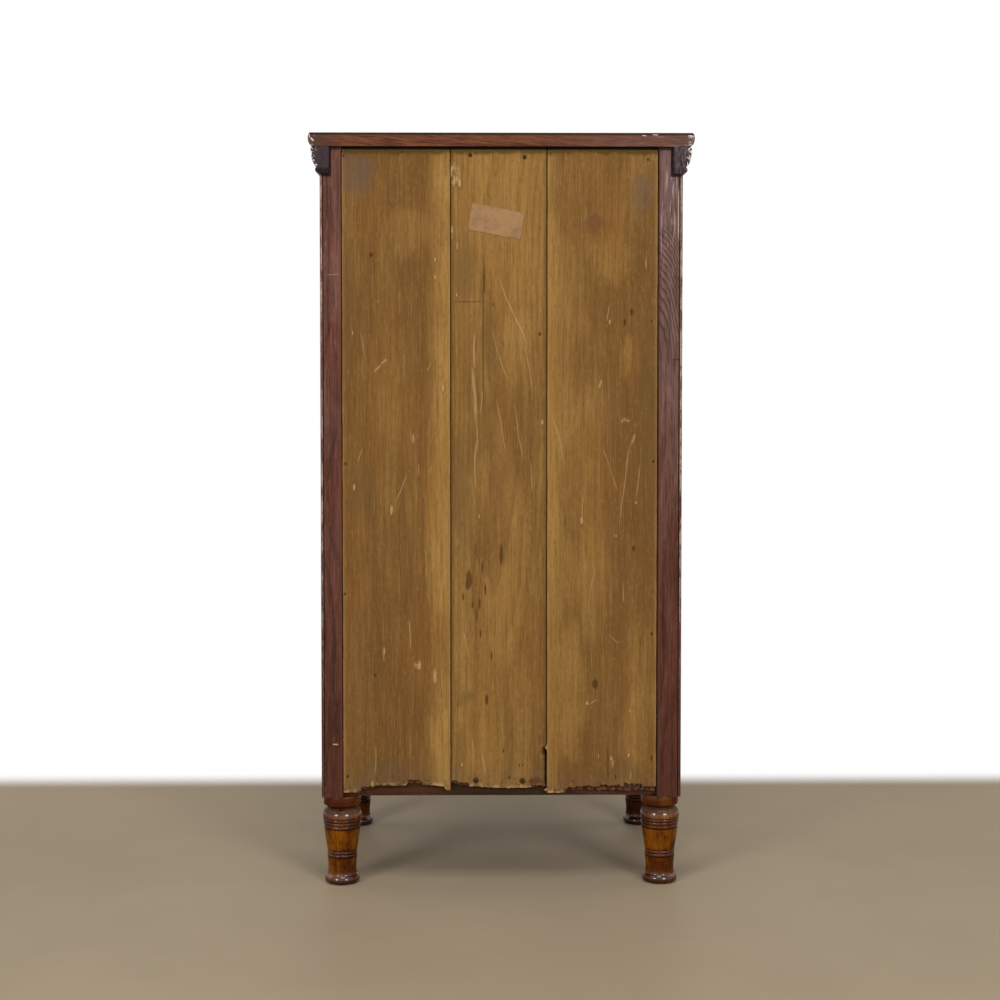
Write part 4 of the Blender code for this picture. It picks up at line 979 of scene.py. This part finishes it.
def makeBoard(hand, board):
    low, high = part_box("back_board_" + hand)
    mesh = bmesh.new()
    grid, whole = boardFace(mesh, board, low, high)
    aboveLayer = mesh.verts.layers.float["above"]
    tornLayer = mesh.verts.layers.float["torn"]
    rim = grid[0] + [line[-1] for line in grid[1:]] + grid[-1][-2::-1] + [line[0] for line in grid[-2:0:-1]]
    inner = []
    for vert in rim:
        behind = mesh.verts.new((whole[vert], low.y, vert.co.z))
        moved = abs(whole[vert] - vert.co.x)
        behind[aboveLayer] = vert[aboveLayer]
        behind[tornLayer] = max(vert[tornLayer], min(1.0, moved / pine["gnawed"]))
        inner.append(behind)
    for i in range(len(rim)):
        j = (i + 1) % len(rim)
        mesh.faces.new((rim[i], rim[j], inner[j], inner[i]))
    mesh.faces.new(inner)
    piece = addObject("backBoard_" + hand, mesh, 50.0)
    settle(piece, "carcass", "back_pine", pineFinish(hand, board, low, high), "back_board_" + hand)


ironwork = {"rust": (0.085, 0.036, 0.018), "lock": (0.200, 0.190, 0.180)}
nail = {"crown": 0.0005, "sink": 0.0011, "depth": 0.002, "colour": (0.030, 0.021, 0.011)}


def ironFinish(name, colour, rust, bareness=1.0, shine=0.5):
    f = Finish(name)
    grain = f.noise((700.0, 700.0, 700.0), 3.0)
    bloom = f.soft(f.noise((150.0, 150.0, 150.0), 8.0, 4.0, 0.65), 0.45, 0.68)
    f.colour = f.mix(f.soft(grain, 0.35, 0.65), colour, tuple(0.6 * c for c in colour))
    f.lay(bloom * rust, ironwork["rust"])
    bare = (1.0 - bloom * 0.7) * bareness
    return f.surface(0.42 + grain * 0.25, grain, 0.0002, metallic=bare, shine=shine)


# A slotted screw head: a seat and two half domes with the slot between them
screw = {"slot": 0.0012, "crown": 0.0006, "skirt": 0.0004, "sink": 0.0012, "depth": 0.0020,
         "seatRim": (0.0002, 0.0003), "clearance": 0.0001, "lean": (0.10, -0.06),
         "colour": (0.062, 0.035, 0.010), "shadeAndDirt": (0.008, 0.005, 0.002)}


def makeScrew(number, x, z, radius, face):
    name = "screw_" + str(number)
    half = screw["slot"] / 2
    inset, drop = screw["seatRim"]
    seat = [(radius, -screw["depth"]), (radius, -drop), (radius - inset, 0.0)]
    pieces = [lathe(name + "_seat", seat, 28)]
    # the seat shows dark through the slot: painted shade, partly dirt
    settle(pieces[0], "carcass", "lock_iron", ironFinish(name + "_dirt", screw["shadeAndDirt"], 0.2, 0.0, 0.02))
    iron = ironFinish(name + "_iron", screw["colour"], 0.6, 0.04, 0.05)
    reach = radius - half - screw["clearance"]
    rise = [(reach, -screw["skirt"])] + arc((0.0, 0.0), (reach, screw["crown"]), 0, 70, 5)
    for hand, sign, start in (("left", -1.0, 90.0), ("right", 1.0, -90.0)):
        loops = [[(*spot, level) for spot in arc((sign * half, 0.0), (size, size), start, start + 180.0, 14)]
                 for size, level in rise]
        pieces.append(settle(loft(name + "_" + hand, loops), "carcass", "lock_iron", iron))
    for piece in pieces:
        piece.rotation_euler = (-math.pi / 2, screw["lean"][number - 1], 0.0)
        piece.location = (x, face - screw["sink"], z)


def makeBackBoards():
    for hand, board in boards.items():
        makeBoard(hand, board)
    iron = ironFinish("nailIron", nail["colour"], 0.6, 0.04, 0.03)
    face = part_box("back_board_middle")[1].y
    for hand, board in boards.items():
        for number, (x, z, radius) in enumerate(board["nails"], start=1):
            profile = [(radius, -nail["depth"])] + arc((0.0, 0.0), (radius, nail["crown"]), 0, 82, 5)
            head = lathe("nail_" + hand + "_" + str(number), profile, 14)
            head.rotation_euler.x = -math.pi / 2
            head.location = (x, face - nail["sink"], z)
            settle(head, "carcass", "lock_iron", iron)
    for number, (x, z, radius) in enumerate(boards["middle"]["screws"], start=1):
        makeScrew(number, x, z, radius, face)
    print("back boards made")


# A scrap of old paper pasted on the middle board
paper = {"middle": (0.0085, 1.0795), "size": (0.086, 0.043), "tilt": 11.0, "thickness": 0.00022,
         "press": 0.0001, "lift": 0.0007, "fray": 0.0011, "wave": 0.00012, "columns": 34, "rows": 18,
         "colour": (0.287, 0.150, 0.057), "aged": (0.168, 0.085, 0.033), "spots": (0.150, 0.070, 0.030),
         "fibre": (0.420, 0.250, 0.110)}


def paperFinish():
    f = Finish("oldPaper")
    cloud = f.noise((40.0, 40.0, 40.0), 2.0, 4.0, 0.6)
    fibre = f.noise((800.0, 800.0, 800.0), 6.0)
    spots = f.soft(f.noise((240.0, 240.0, 240.0), 9.0), 0.60, 0.70)
    f.colour = f.mix(f.soft(cloud, 0.38, 0.66), paper["colour"], paper["aged"])
    f.lay(spots * 0.35, paper["spots"])
    f.lay(f.soft(fibre, 0.35, 0.7) * 0.3, paper["fibre"])
    return f.surface(0.75 + fibre * 0.1, fibre + cloud, 0.0002)


# A point of the scrap by its shares from the middle: edges frayed, one corner short, ends that curl
def paperPoint(u, v, face):
    fray = paper["fray"] * noise.noise((u * 30.0, v * 18.0, 5.0))
    x = u * paper["size"][0] + (fray if abs(u) == 0.5 else 0.0)
    z = v * paper["size"][1] + (fray if abs(v) == 0.5 else 0.0)
    if u < -0.4 and v > 0.28:
        z -= 0.192 * (v - 0.28) * (-u - 0.4)
    curl = paper["lift"] * max(0.0, abs(u) * 2.0 - 0.86) / 0.14
    curl *= 0.5 + 0.5 * noise.noise((u * 5.0, v * 6.0, 2.0))
    wave = paper["wave"] * (1.0 + noise.noise((u * 9.0, v * 7.0, 1.0)))
    turn = math.radians(paper["tilt"])
    return (paper["middle"][0] + x * math.cos(turn) - z * math.sin(turn), face + curl + wave,
            paper["middle"][1] + x * math.sin(turn) + z * math.cos(turn))


def makePaper():
    columns, rows = paper["columns"], paper["rows"]
    mesh = bmesh.new()
    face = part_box("back_board_middle")[1].y - paper["press"]
    points = [paperPoint(i / columns - 0.5, j / rows - 0.5, face)
              for j in range(rows + 1) for i in range(columns + 1)]
    under = [mesh.verts.new(point) for point in points]
    over = [mesh.verts.new((x, y + paper["thickness"], z)) for x, y, z in points]
    across = columns + 1
    for j in range(rows):
        for i in range(columns):
            a = j * across + i
            for sheet in (under, over):
                mesh.faces.new((sheet[a], sheet[a + 1], sheet[a + across + 1], sheet[a + across]))
    rim = list(range(columns)) + [columns + j * across for j in range(rows)]
    rim += [rows * across + columns - i for i in range(columns)] + [(rows - j) * across for j in range(rows)]
    for a, b in zip(rim, rim[1:] + rim[:1]):
        mesh.faces.new((under[a], under[b], over[b], over[a]))
    settle(addObject("paperScrap", mesh), "carcass", "back_pine", paperFinish())
    print("paper made")


# Turned feet
foot = {
    "base": 0.0215, "toe": 0.0282, "toeLevel": 0.0065, "toeRise": 0.0085,
    "shank": (0.0215, 0.0245), "ankle": (0.0244, 0.0432),
    "lowGrooves": (0.0440, 0.0493, 0.0546), "highGrooves": (0.0915, 0.0970, 0.1025, 0.1080),
    "grooveDepth": 0.0015, "reedSteps": 6, "fillet": 0.0009,
    "swell": 0.0318, "swellHeight": 0.0150, "neck": (0.0240, 0.1250),
    "collar": 0.0302, "collarLow": 0.1295, "collarTop": 0.1457, "steps": 80,
    "amber": (0.205, 0.064, 0.002), "brown": (0.072, 0.016, 0.002), "fleck": (0.020, 0.004, 0.002),
    "groove": (0.012, 0.003, 0.002), "red": (0.052, 0.011, 0.004), "dust": (0.060, 0.055, 0.042),
    "collarLight": (0.110, 0.032, 0.006),
}


def footReeds(levels):
    ankle, swell = foot["ankle"], foot["swell"]
    slope = (swell - ankle[0]) / (foot["highGrooves"][-1] - foot["lowGrooves"][-1])
    points = []
    for low, high in zip(levels, levels[1:]):
        for i in range(foot["reedSteps"]):
            u = 2.0 * i / foot["reedSteps"] - 1.0
            level = (low + high) / 2 + u * (high - low) / 2
            body = ankle[0] + slope * max(0.0, level - foot["lowGrooves"][-1])
            points.append((body - foot["grooveDepth"] * (1.0 - math.sqrt(max(0.0, 1.0 - u * u))), level))
    last = levels[-1]
    body = ankle[0] + slope * max(0.0, last - foot["lowGrooves"][-1])
    return points + [(body - foot["grooveDepth"], last)]


def footProfile():
    toe = foot["toe"] - foot["base"]
    middle = (foot["base"], foot["toeLevel"])
    profile = arc(middle, (toe, foot["toeLevel"]), -90, 0, 8)
    profile += arc(middle, (toe, foot["toeRise"]), 0, 68, 8)[1:]
    profile += bend(profile[-1], foot["shank"], foot["ankle"], 12)[1:]
    profile += footReeds(foot["lowGrooves"])
    fillet = foot["fillet"]
    start = (foot["ankle"][0], foot["lowGrooves"][-1] + fillet)
    reed = footReeds(foot["highGrooves"])
    end = (reed[0][0] + foot["grooveDepth"], foot["highGrooves"][0] - fillet)
    profile += bend(start, (start[0] + 0.55 * (end[0] - start[0]), (start[1] + end[1]) / 2), end, 10)
    profile += reed
    shoulder = foot["highGrooves"][-1] + fillet
    neck, collar = foot["neck"], foot["collar"]
    low, high = foot["collarLow"], foot["collarTop"]
    profile += arc((neck[0], shoulder), (foot["swell"] - neck[0], foot["swellHeight"]), 0, 84, 12)
    profile += bend(neck, (neck[0], low - 0.001), (collar - 0.0012, low), 6)
    profile += [(collar - 0.0003, low + 0.0007), (collar, low + 0.0020)]
    profile += [(collar, high - 0.0012), (collar - 0.0006, high)]
    return profile


def footFinish(name, seed, tone):
    f = Finish(name)
    flecks = f.noise((420.0, 420.0, 75.0), seed, 3.0, 0.6)
    bands = f.noise((110.0, 110.0, 9.0), seed + 2.0)
    cloud = f.noise((34.0, 34.0, 26.0), seed + 4.0)
    taper = f.near(f.z, 0.073, 0.030, 0.010)
    lightness = f.soft(cloud * 0.6 + bands * 0.4 + taper * 0.06, 0.43, 0.64)
    f.colour = f.mix(lightness, foot["brown"], foot["amber"])
    f.lay(f.soft(flecks, 0.52, 0.66) * 0.70, foot["fleck"])
    reeded = f.most(f.near(f.z, 0.0998, 0.0110, 0.0080), f.near(f.z, 0.0493, 0.0075, 0.0050))
    f.lay(reeded * 0.45, foot["red"])
    grooves = 0.0
    for level in foot["lowGrooves"] + foot["highGrooves"]:
        grooves = f.most(grooves, f.near(f.z, level, 0.0013, 0.0003))
    f.lay(grooves * 0.88, foot["groove"])
    f.lay(f.near(f.z, foot["neck"][1] + 0.001, 0.0040, 0.0012) * 0.7, foot["groove"])
    f.lay(f.soft(f.z + (cloud - 0.5) * 0.012, 0.018, 0.006) * 0.62, foot["fleck"])
    dusty = f.near(f.z, 0.1214, 0.0046, 0.0020) * f.soft(cloud, 0.30, 0.55)
    f.lay(dusty * 0.60, foot["dust"])
    collar = f.soft(f.z, foot["collarLow"] - 0.001, foot["collarLow"])
    turning = f.noise((26.0, 26.0, 480.0), seed + 6.0)
    collarTone = f.mix(f.soft(turning * 0.5 + cloud * 0.5, 0.42, 0.64), foot["red"], foot["collarLight"])
    f.lay(collar * 0.85, collarTone)
    # tone below 1 darkens the whole foot: painted shade on the front feet
    f.lay(1.0, (tone, tone, tone), "MULTIPLY")
    polish = f.most(f.near(f.z, 0.1130, 0.0055, 0.0030), f.near(f.z, 0.0120, 0.0110, 0.0060))
    rough = 0.32 + dusty * 0.30 + (cloud - 0.5) * 0.18 + grooves * 0.2 - polish * 0.08
    f.shader.inputs["Coat Roughness"].default_value = 0.13
    f.shader.inputs["Coat IOR"].default_value = 2.2
    coat = 0.02 + polish * 0.21 + reeded * 0.09
    return f.surface(rough, flecks * 0.5 + cloud, 0.0002, coat=coat, shine=0.05)


def makeFeet():
    profile = footProfile()
    for number, end in enumerate(("front_left", "front_right", "back_left", "back_right")):
        low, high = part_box("foot_" + end)
        piece = lathe("foot_" + end + "_turned", profile, foot["steps"], 60.0)
        piece.location = ((low.x + high.x) / 2, (low.y + high.y) / 2, 0.0)
        # the front feet get about half the brightness: painted shade
        finish = footFinish("footPolish_" + end, 6.0 + 5.0 * number, 0.55 if "front" in end else 1.0)
        settle(piece, "carcass", "polished_oak", finish, "foot_" + end)
    print("feet made")


# Drawer fronts with a cock bead
drawer = {
    "count": 7,
    "bead": ((0.0, 0.0200), (0.0, 0.0018), (0.0004, 0.0008), (0.0011, 0.0002), (0.0019, 0.0),
             (0.0027, 0.0002), (0.0033, 0.0009), (0.0035, 0.0019), (0.0041, 0.0019), (0.0044, 0.0013),
             (0.0052, 0.0010)),
    "tail": (0.480, 0.330, 0.175),
    "tailPitch": 0.034,
}


def rectangle(low, high, inset, y):
    return [(low.x + inset, y, low.z + inset), (high.x - inset, y, low.z + inset),
            (high.x - inset, y, high.z - inset), (low.x + inset, y, high.z - inset)]


def frontFinish(number, low, high):
    # the drawer side's dovetails show on the ends of the front
    def tails(f, seed):
        half = (high.x - low.x) / 2
        end = f.near(f.x, (low.x + high.x) / 2, half - 0.0006, half - 0.0002)
        lap = f.soft(f.y, low.y + 0.0052, low.y + 0.0056)
        step = abs((f.z - low.z) / drawer["tailPitch"] % 1.0 - 0.5)
        flare = step + (f.y - low.y) * 5.0
        handled = f.soft(f.noise((7.0, 7.0, 14.0), seed + 31.0), 0.45, 0.72)
        f.lay(handled * 0.22, oak["light"])
        f.lay(end * lap * f.soft(flare, 0.385, 0.365), drawer["tail"])

    heart = (0.0, -0.32 + 0.03 * (number % 3), 0.5 * (low.z + high.z) + 0.05 * (number % 4 - 1.5))
    return stainedOak("drawerOak_" + str(number), "x", heart, 51.0 + 4.0 * number, tails, 0.34, 0.25)


# Turned knobs: radius and height from the drawer's face; the neck and the bowl are curves
knob = {
    "rose": [(0.0140, 0.0004), (0.0145, 0.0012), (0.0145, 0.0024), (0.0138, 0.0032), (0.0118, 0.0036)],
    "neck": ((0.0105, 0.0042), (0.0078, 0.0085), (0.0098, 0.0128)),
    "bowl": ((0.0112, 0.0136), (0.0186, 0.0148), (0.0190, 0.0200)),
    "crown": ((0.0, 0.0200), (0.0190, 0.0089)),
    "button": [(0.0076, 0.0281), (0.0070, 0.0277), (0.0058, 0.0286), (0.0030, 0.0289), (0.0008, 0.0290)],
    "steps": 56,
}


def knobProfile():
    curves = bend(*knob["neck"], 8) + bend(*knob["bowl"], 8) + arc(*knob["crown"], 6, 62, 9)
    return knob["rose"] + curves + knob["button"]


def makeDrawers():
    trayPine = liningFinish()
    for number in range(1, drawer["count"] + 1):
        name = "drawer_" + str(number)
        low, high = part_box(name + "_front")
        loops = [rectangle(low, high, inset, low.y + depth) for inset, depth in drawer["bead"]]
        front = loft(name + "_face", loops, angle=38.0)
        settle(front, name, "stained_oak", frontFinish(number, low, high), name + "_front")
        dress(name + "_tray", trayPine, None, 0.0008)
        turnedOak = stainedOak("knobOak_" + str(number), "z", (0.02, 0.03, 0.0), 81.0 + 3.0 * number,
                               None, 0.26, 0.35)
        for hand in ("left", "right"):
            boxLow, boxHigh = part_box(name + "_knob_" + hand)
            turned = lathe(name + "_knob_" + hand + "_turned", knobProfile(), knob["steps"], 45.0)
            turned.rotation_euler.x = math.pi / 2
            turned.location = ((boxLow.x + boxHigh.x) / 2, low.y, (boxLow.z + boxHigh.z) / 2)
            settle(turned, name, "stained_oak", turnedOak, name + "_knob_" + hand)
    print("drawers made")


# Bare softwood of the drawer linings; its grain turns at the tray's back
lining = {"wood": (0.430, 0.285, 0.150), "pale": (0.560, 0.410, 0.245), "late": (0.300, 0.170, 0.075),
          "grime": (0.260, 0.160, 0.080), "back": 0.1978, "ringWidth": 0.0065, "ringSway": 0.06}


def liningFinish():
    f = Finish("drawerPine")
    tones = []
    for axis, heart in (("y", (0.0, 0.0, -0.4)), ("x", (0.0, 0.5, -0.2))):
        phase = rings(f, axis, heart, lining["ringWidth"], 3.0, lining["ringSway"])
        fibre = f.noise(drawn(axis, 600.0, 9.0), 5.0, 4.0, 0.6)
        tone = f.mix(f.soft(fibre, 0.35, 0.68), lining["wood"], lining["pale"])
        tones.append(f.mix(f.soft(phase, 0.5, 0.98) * 0.45, tone, lining["late"]))
    f.colour = f.mix(f.soft(f.y, lining["back"] - 0.0004, lining["back"] + 0.0004), *tones)
    grime = f.soft(f.noise((9.0, 9.0, 9.0), 12.0, 4.0, 0.6), 0.42, 0.72)
    f.lay(grime * 0.35, lining["grime"])
    return f.surface(0.62 + grime * 0.12, f.noise((500.0, 40.0, 500.0), 4.0), 0.0002)


# The base board's back edge is darkened as painted shade, most in the middle, with a few bare specks
base = {"grime": (0.036, 0.013, 0.002), "shade": (0.014, 0.008, 0.001), "specks": (0.300, 0.200, 0.130)}


def baseTint(f, seed):
    back = f.soft(f.y, 0.15, 0.19)
    bits = f.noise((240.0, 240.0, 420.0), seed + 5.0, 3.0, 0.6)
    # painted shade along the back edge, most in the middle
    f.lay(back * 0.75, base["grime"])
    f.lay(back * f.soft(abs(f.x), 0.13, 0.06) * 0.65, base["shade"])
    f.lay(back * f.soft(bits, 0.64, 0.72) * 0.5, base["specks"])


# Sides, inner boards, pilaster and stile: nodes of the frame with their own wood
def makeCarcass():
    for hand, sign in (("left", -1.0), ("right", 1.0)):
        heart = (sign * 0.42, 0.03, 0.0)
        panelOak = stainedOak("panelOak_" + hand, "z", heart, 61.0 + sign, None, 0.36, 0.2)
        dress("side_panel_" + hand, panelOak)
        makePanelBead(hand, sign)
    pilasterOak = stainedOak("pilasterOak", "z", (-0.25, -0.31, 0.0), 67.0, None, 0.34, 0.22)
    dress("fixed_pilaster", pilasterOak, rubbed)
    dress("locking_stile", stainedOak("stileOak", "z", (0.40, -0.22, 0.0), 71.0, None, 0.34, 0.22), rubbed)
    dress("base_board", stainedOak("baseOak", "x", (0.0, 0.0, 0.30), 73.0, baseTint, 0.5, 0.05), quietEdge)
    dress("sub_top", liningFinish())
    for number in range(1, drawer["count"]):
        heart = (0.0, 0.1, 0.2 * number)
        dustOak = stainedOak("dustOak_" + str(number), "x", heart, 75.0 + number, None, 0.45)
        dress("dustboard_" + str(number), dustOak, quietEdge)
    print("carcass dressed")


# A quarter-round bead planted round each side panel
panelBead = {"size": 0.0065, "steps": 8}


def makePanelBead(hand, sign):
    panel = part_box("side_panel_" + hand)
    face = panel[1].x if sign > 0 else panel[0].x
    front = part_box("front_post_" + hand)[1].y
    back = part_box("back_post_" + hand)[0].y
    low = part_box("base_board")[1].z
    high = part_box("bed_moulding_" + hand)[0].z
    size = panelBead["size"]
    section = [(0.0, 0.0), (size, 0.0)]
    section += arc((0.0, 0.0), (size, size), 10, 80, panelBead["steps"]) + [(0.0, size)]
    corners = ((front, low, 1, 1), (back, low, -1, 1), (back, high, -1, -1), (front, high, 1, -1))
    loops = []
    for y, z, inY, inZ in corners:
        loops.append([(face + sign * out, y + inY * into, z + inZ * into) for into, out in section])
    piece = loft("panelBead_" + hand, loops, ring=True, angle=40.0)
    settle(piece, "carcass", "stained_oak",
           stainedOak("panelBeadOak_" + hand, "z", (sign * 0.30, 0.0, 0.0), 63.0 + sign, None, 0.36, 0.2))


# Brass and iron of the lock, its striker and the pivots
brass = {"bright": (0.600, 0.420, 0.165), "dull": (0.260, 0.165, 0.065), "grime": (0.050, 0.033, 0.018)}


def brassFinish():
    f = Finish("agedBrass")
    cloud = f.noise((120.0, 120.0, 120.0), 3.0, 4.0, 0.6)
    fine = f.noise((900.0, 900.0, 200.0), 5.0)
    f.colour = f.mix(f.soft(cloud, 0.36, 0.66), brass["bright"], brass["dull"])
    f.lay(f.soft(fine, 0.58, 0.72) * 0.6, brass["grime"])
    return f.surface(0.28 + cloud * 0.25, fine, 0.0001, metallic=1.0)


escutcheon = {"radius": 0.0085, "drop": 0.0175, "width": 0.0062, "proud": 0.0009, "round": (0.0006, 0.0004),
              "hole": 0.0027, "slot": 0.0013, "slotDrop": 0.0082, "steps": 10, "fall": 0.014}


# Keyhole shape: a round head over a straight or flared drop
def keyOutline(radius, halfDrop, drop, steps):
    start = math.degrees(math.asin(halfDrop / radius))
    points = arc((0.0, 0.0), (radius, radius), -90 + start, 270 - start, 3 * steps)
    return points + [(-halfDrop, -drop), (halfDrop, -drop)]


def makeEscutcheon(metal):
    stileLow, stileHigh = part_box("locking_stile")
    caseLow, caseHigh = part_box("lock_case")
    e = escutcheon
    inset, fall = e["round"]
    proud = e["proud"]
    outer = keyOutline(e["radius"], e["width"], e["drop"], e["steps"])
    crest = keyOutline(e["radius"] - inset, e["width"] - inset, e["drop"] - inset, e["steps"])
    inner = keyOutline(e["hole"], e["slot"], e["slotDrop"], e["steps"])
    middleY = (stileLow.y + stileHigh.y) / 2
    middleZ = (caseLow.z + caseHigh.z) / 2 - e["fall"]
    loops = []
    for outline, out in ((outer, 0.0), (outer, proud - fall), (crest, proud), (inner, proud), (inner, 0.0)):
        loops.append([(stileHigh.x + out, middleY + across, middleZ + up) for across, up in outline])
    settle(loft("escutcheon", loops, ring=True), "stile", "brass", metal)


def makeFittings():
    metal = brassFinish()
    iron = ironFinish("lockIron", ironwork["lock"], 0.5)
    for name in ("pivot_pin_top", "pivot_pin_bottom", "striker_plate"):
        dress(name, metal, None, 0.0003)
    for name in ("lock_case", "lock_bolt"):
        dress(name, iron, None, 0.0003)
    makeEscutcheon(metal)
    print("fittings made")


makePosts()
makeTop()
makeBedMoulding()
makeBackBoards()
makePaper()
makeFeet()
makeCarcass()
makeDrawers()
makeFittings()


# Studio: a pale floor that fades into a white surround, and soft lamps above the camera's side
studio = {
    "floor": (0.345, 0.275, 0.185), "floorSize": 8.0, "farFade": (-0.44, -0.57), "fade": (2.0, 3.2),
    "ambient": 0.17, "ambientColour": (1.0, 0.93, 0.82),
    "lamps": (((2.45, 3.35, 1.65), 1.1, 74.0), ((-1.95, 3.65, 1.65), 1.1, 74.0),
              ((0.0, 2.2, 4.6), 1.8, 76.0), ((0.0, -4.5, 3.8), 2.4, 50.0),
              ((3.6, -1.0, 2.8), 2.0, 20.0), ((-3.6, -1.0, 2.8), 2.0, 20.0)),
    "aim": (0.0, 0.1, 0.6),
}


def makeFloor():
    mesh = bmesh.new()
    half = studio["floorSize"] / 2
    corners = ((-half, -half, 0), (half, -half, 0), (half, half, 0), (-half, half, 0))
    mesh.faces.new([mesh.verts.new(corner) for corner in corners])
    floor = addObject("floor", mesh)
    f = Finish("paleFloor")
    grain = f.noise((3.0, 3.0, 3.0), 2.0, 4.0, 0.6)
    f.colour = f.mix(f.soft(grain, 0.35, 0.65), studio["floor"], tuple(0.94 * c for c in studio["floor"]))
    f.surface(0.7, grain, 0.0005, shine=0.15)
    reach = f.vectors("LENGTH", f.spot, output="Value")
    fade = f.most(f.soft(reach, *studio["fade"]), f.soft(f.y, *studio["farFade"]))
    clear = f.node("ShaderNodeBsdfTransparent")
    mixed = f.node("ShaderNodeMixShader", {}, {0: fade, 1: Wire(f, f.shader.outputs[0]), 2: clear})
    f.feed(f.tree.nodes["Material Output"].inputs["Surface"], mixed)
    floor.data.materials.append(f.material)


def makeSurround():
    world = bpy.data.worlds.new("surround")
    bpy.context.scene.world = world
    world.use_nodes = True
    wiring = Wiring(world.node_tree)
    white = wiring.node("ShaderNodeBackground", {}, {"Color": (1.0, 1.0, 1.0), "Strength": 1.0})
    dim = wiring.node("ShaderNodeBackground", {},
                      {"Color": studio["ambientColour"], "Strength": studio["ambient"]})
    rays = wiring.node("ShaderNodeLightPath").socket.node.outputs
    seen = Wire(wiring, rays["Is Camera Ray"])
    for ray in ("Is Glossy Ray", "Is Transmission Ray"):
        seen = wiring.most(seen, Wire(wiring, rays[ray]))
    chosen = wiring.node("ShaderNodeMixShader", {}, {0: seen, 1: dim, 2: white})
    wiring.feed(wiring.tree.nodes["World Output"].inputs["Surface"], chosen)


def makeLamps():
    for number, (place, size, power) in enumerate(studio["lamps"], start=1):
        light = bpy.data.lights.new("softbox_" + str(number), "AREA")
        light.size = size
        light.energy = power
        lamp = bpy.data.objects.new("softbox_" + str(number), light)
        lamp.location = place
        aim = Vector(studio["aim"]) - Vector(place)
        lamp.rotation_euler = aim.to_track_quat("-Z", "Y").to_euler()
        bpy.context.scene.collection.objects.link(lamp)


# The camera stands behind the chest, turned and pitched a little down
camera = {"place": (0.0429, 3.0118, 0.8373), "turn": 0.728, "pitch": -2.054, "lens": 62.13, "sensor": 36.0,
          "shift": (0.0032, -0.0662)}


def makeCamera():
    data = bpy.data.cameras.new("camera")
    data.sensor_width = camera["sensor"]
    data.lens = camera["lens"]
    data.shift_x, data.shift_y = camera["shift"]
    rig = bpy.data.objects.new("camera", data)
    rig.location = camera["place"]
    rig.rotation_euler = (math.radians(90.0 + camera["pitch"]), 0.0, math.radians(180.0 - camera["turn"]))
    bpy.context.scene.collection.objects.link(rig)
    bpy.context.scene.camera = rig


makeFloor()
makeSurround()
makeLamps()
makeCamera()
bpy.context.scene.view_settings.view_transform = "Standard"
print("studio made")
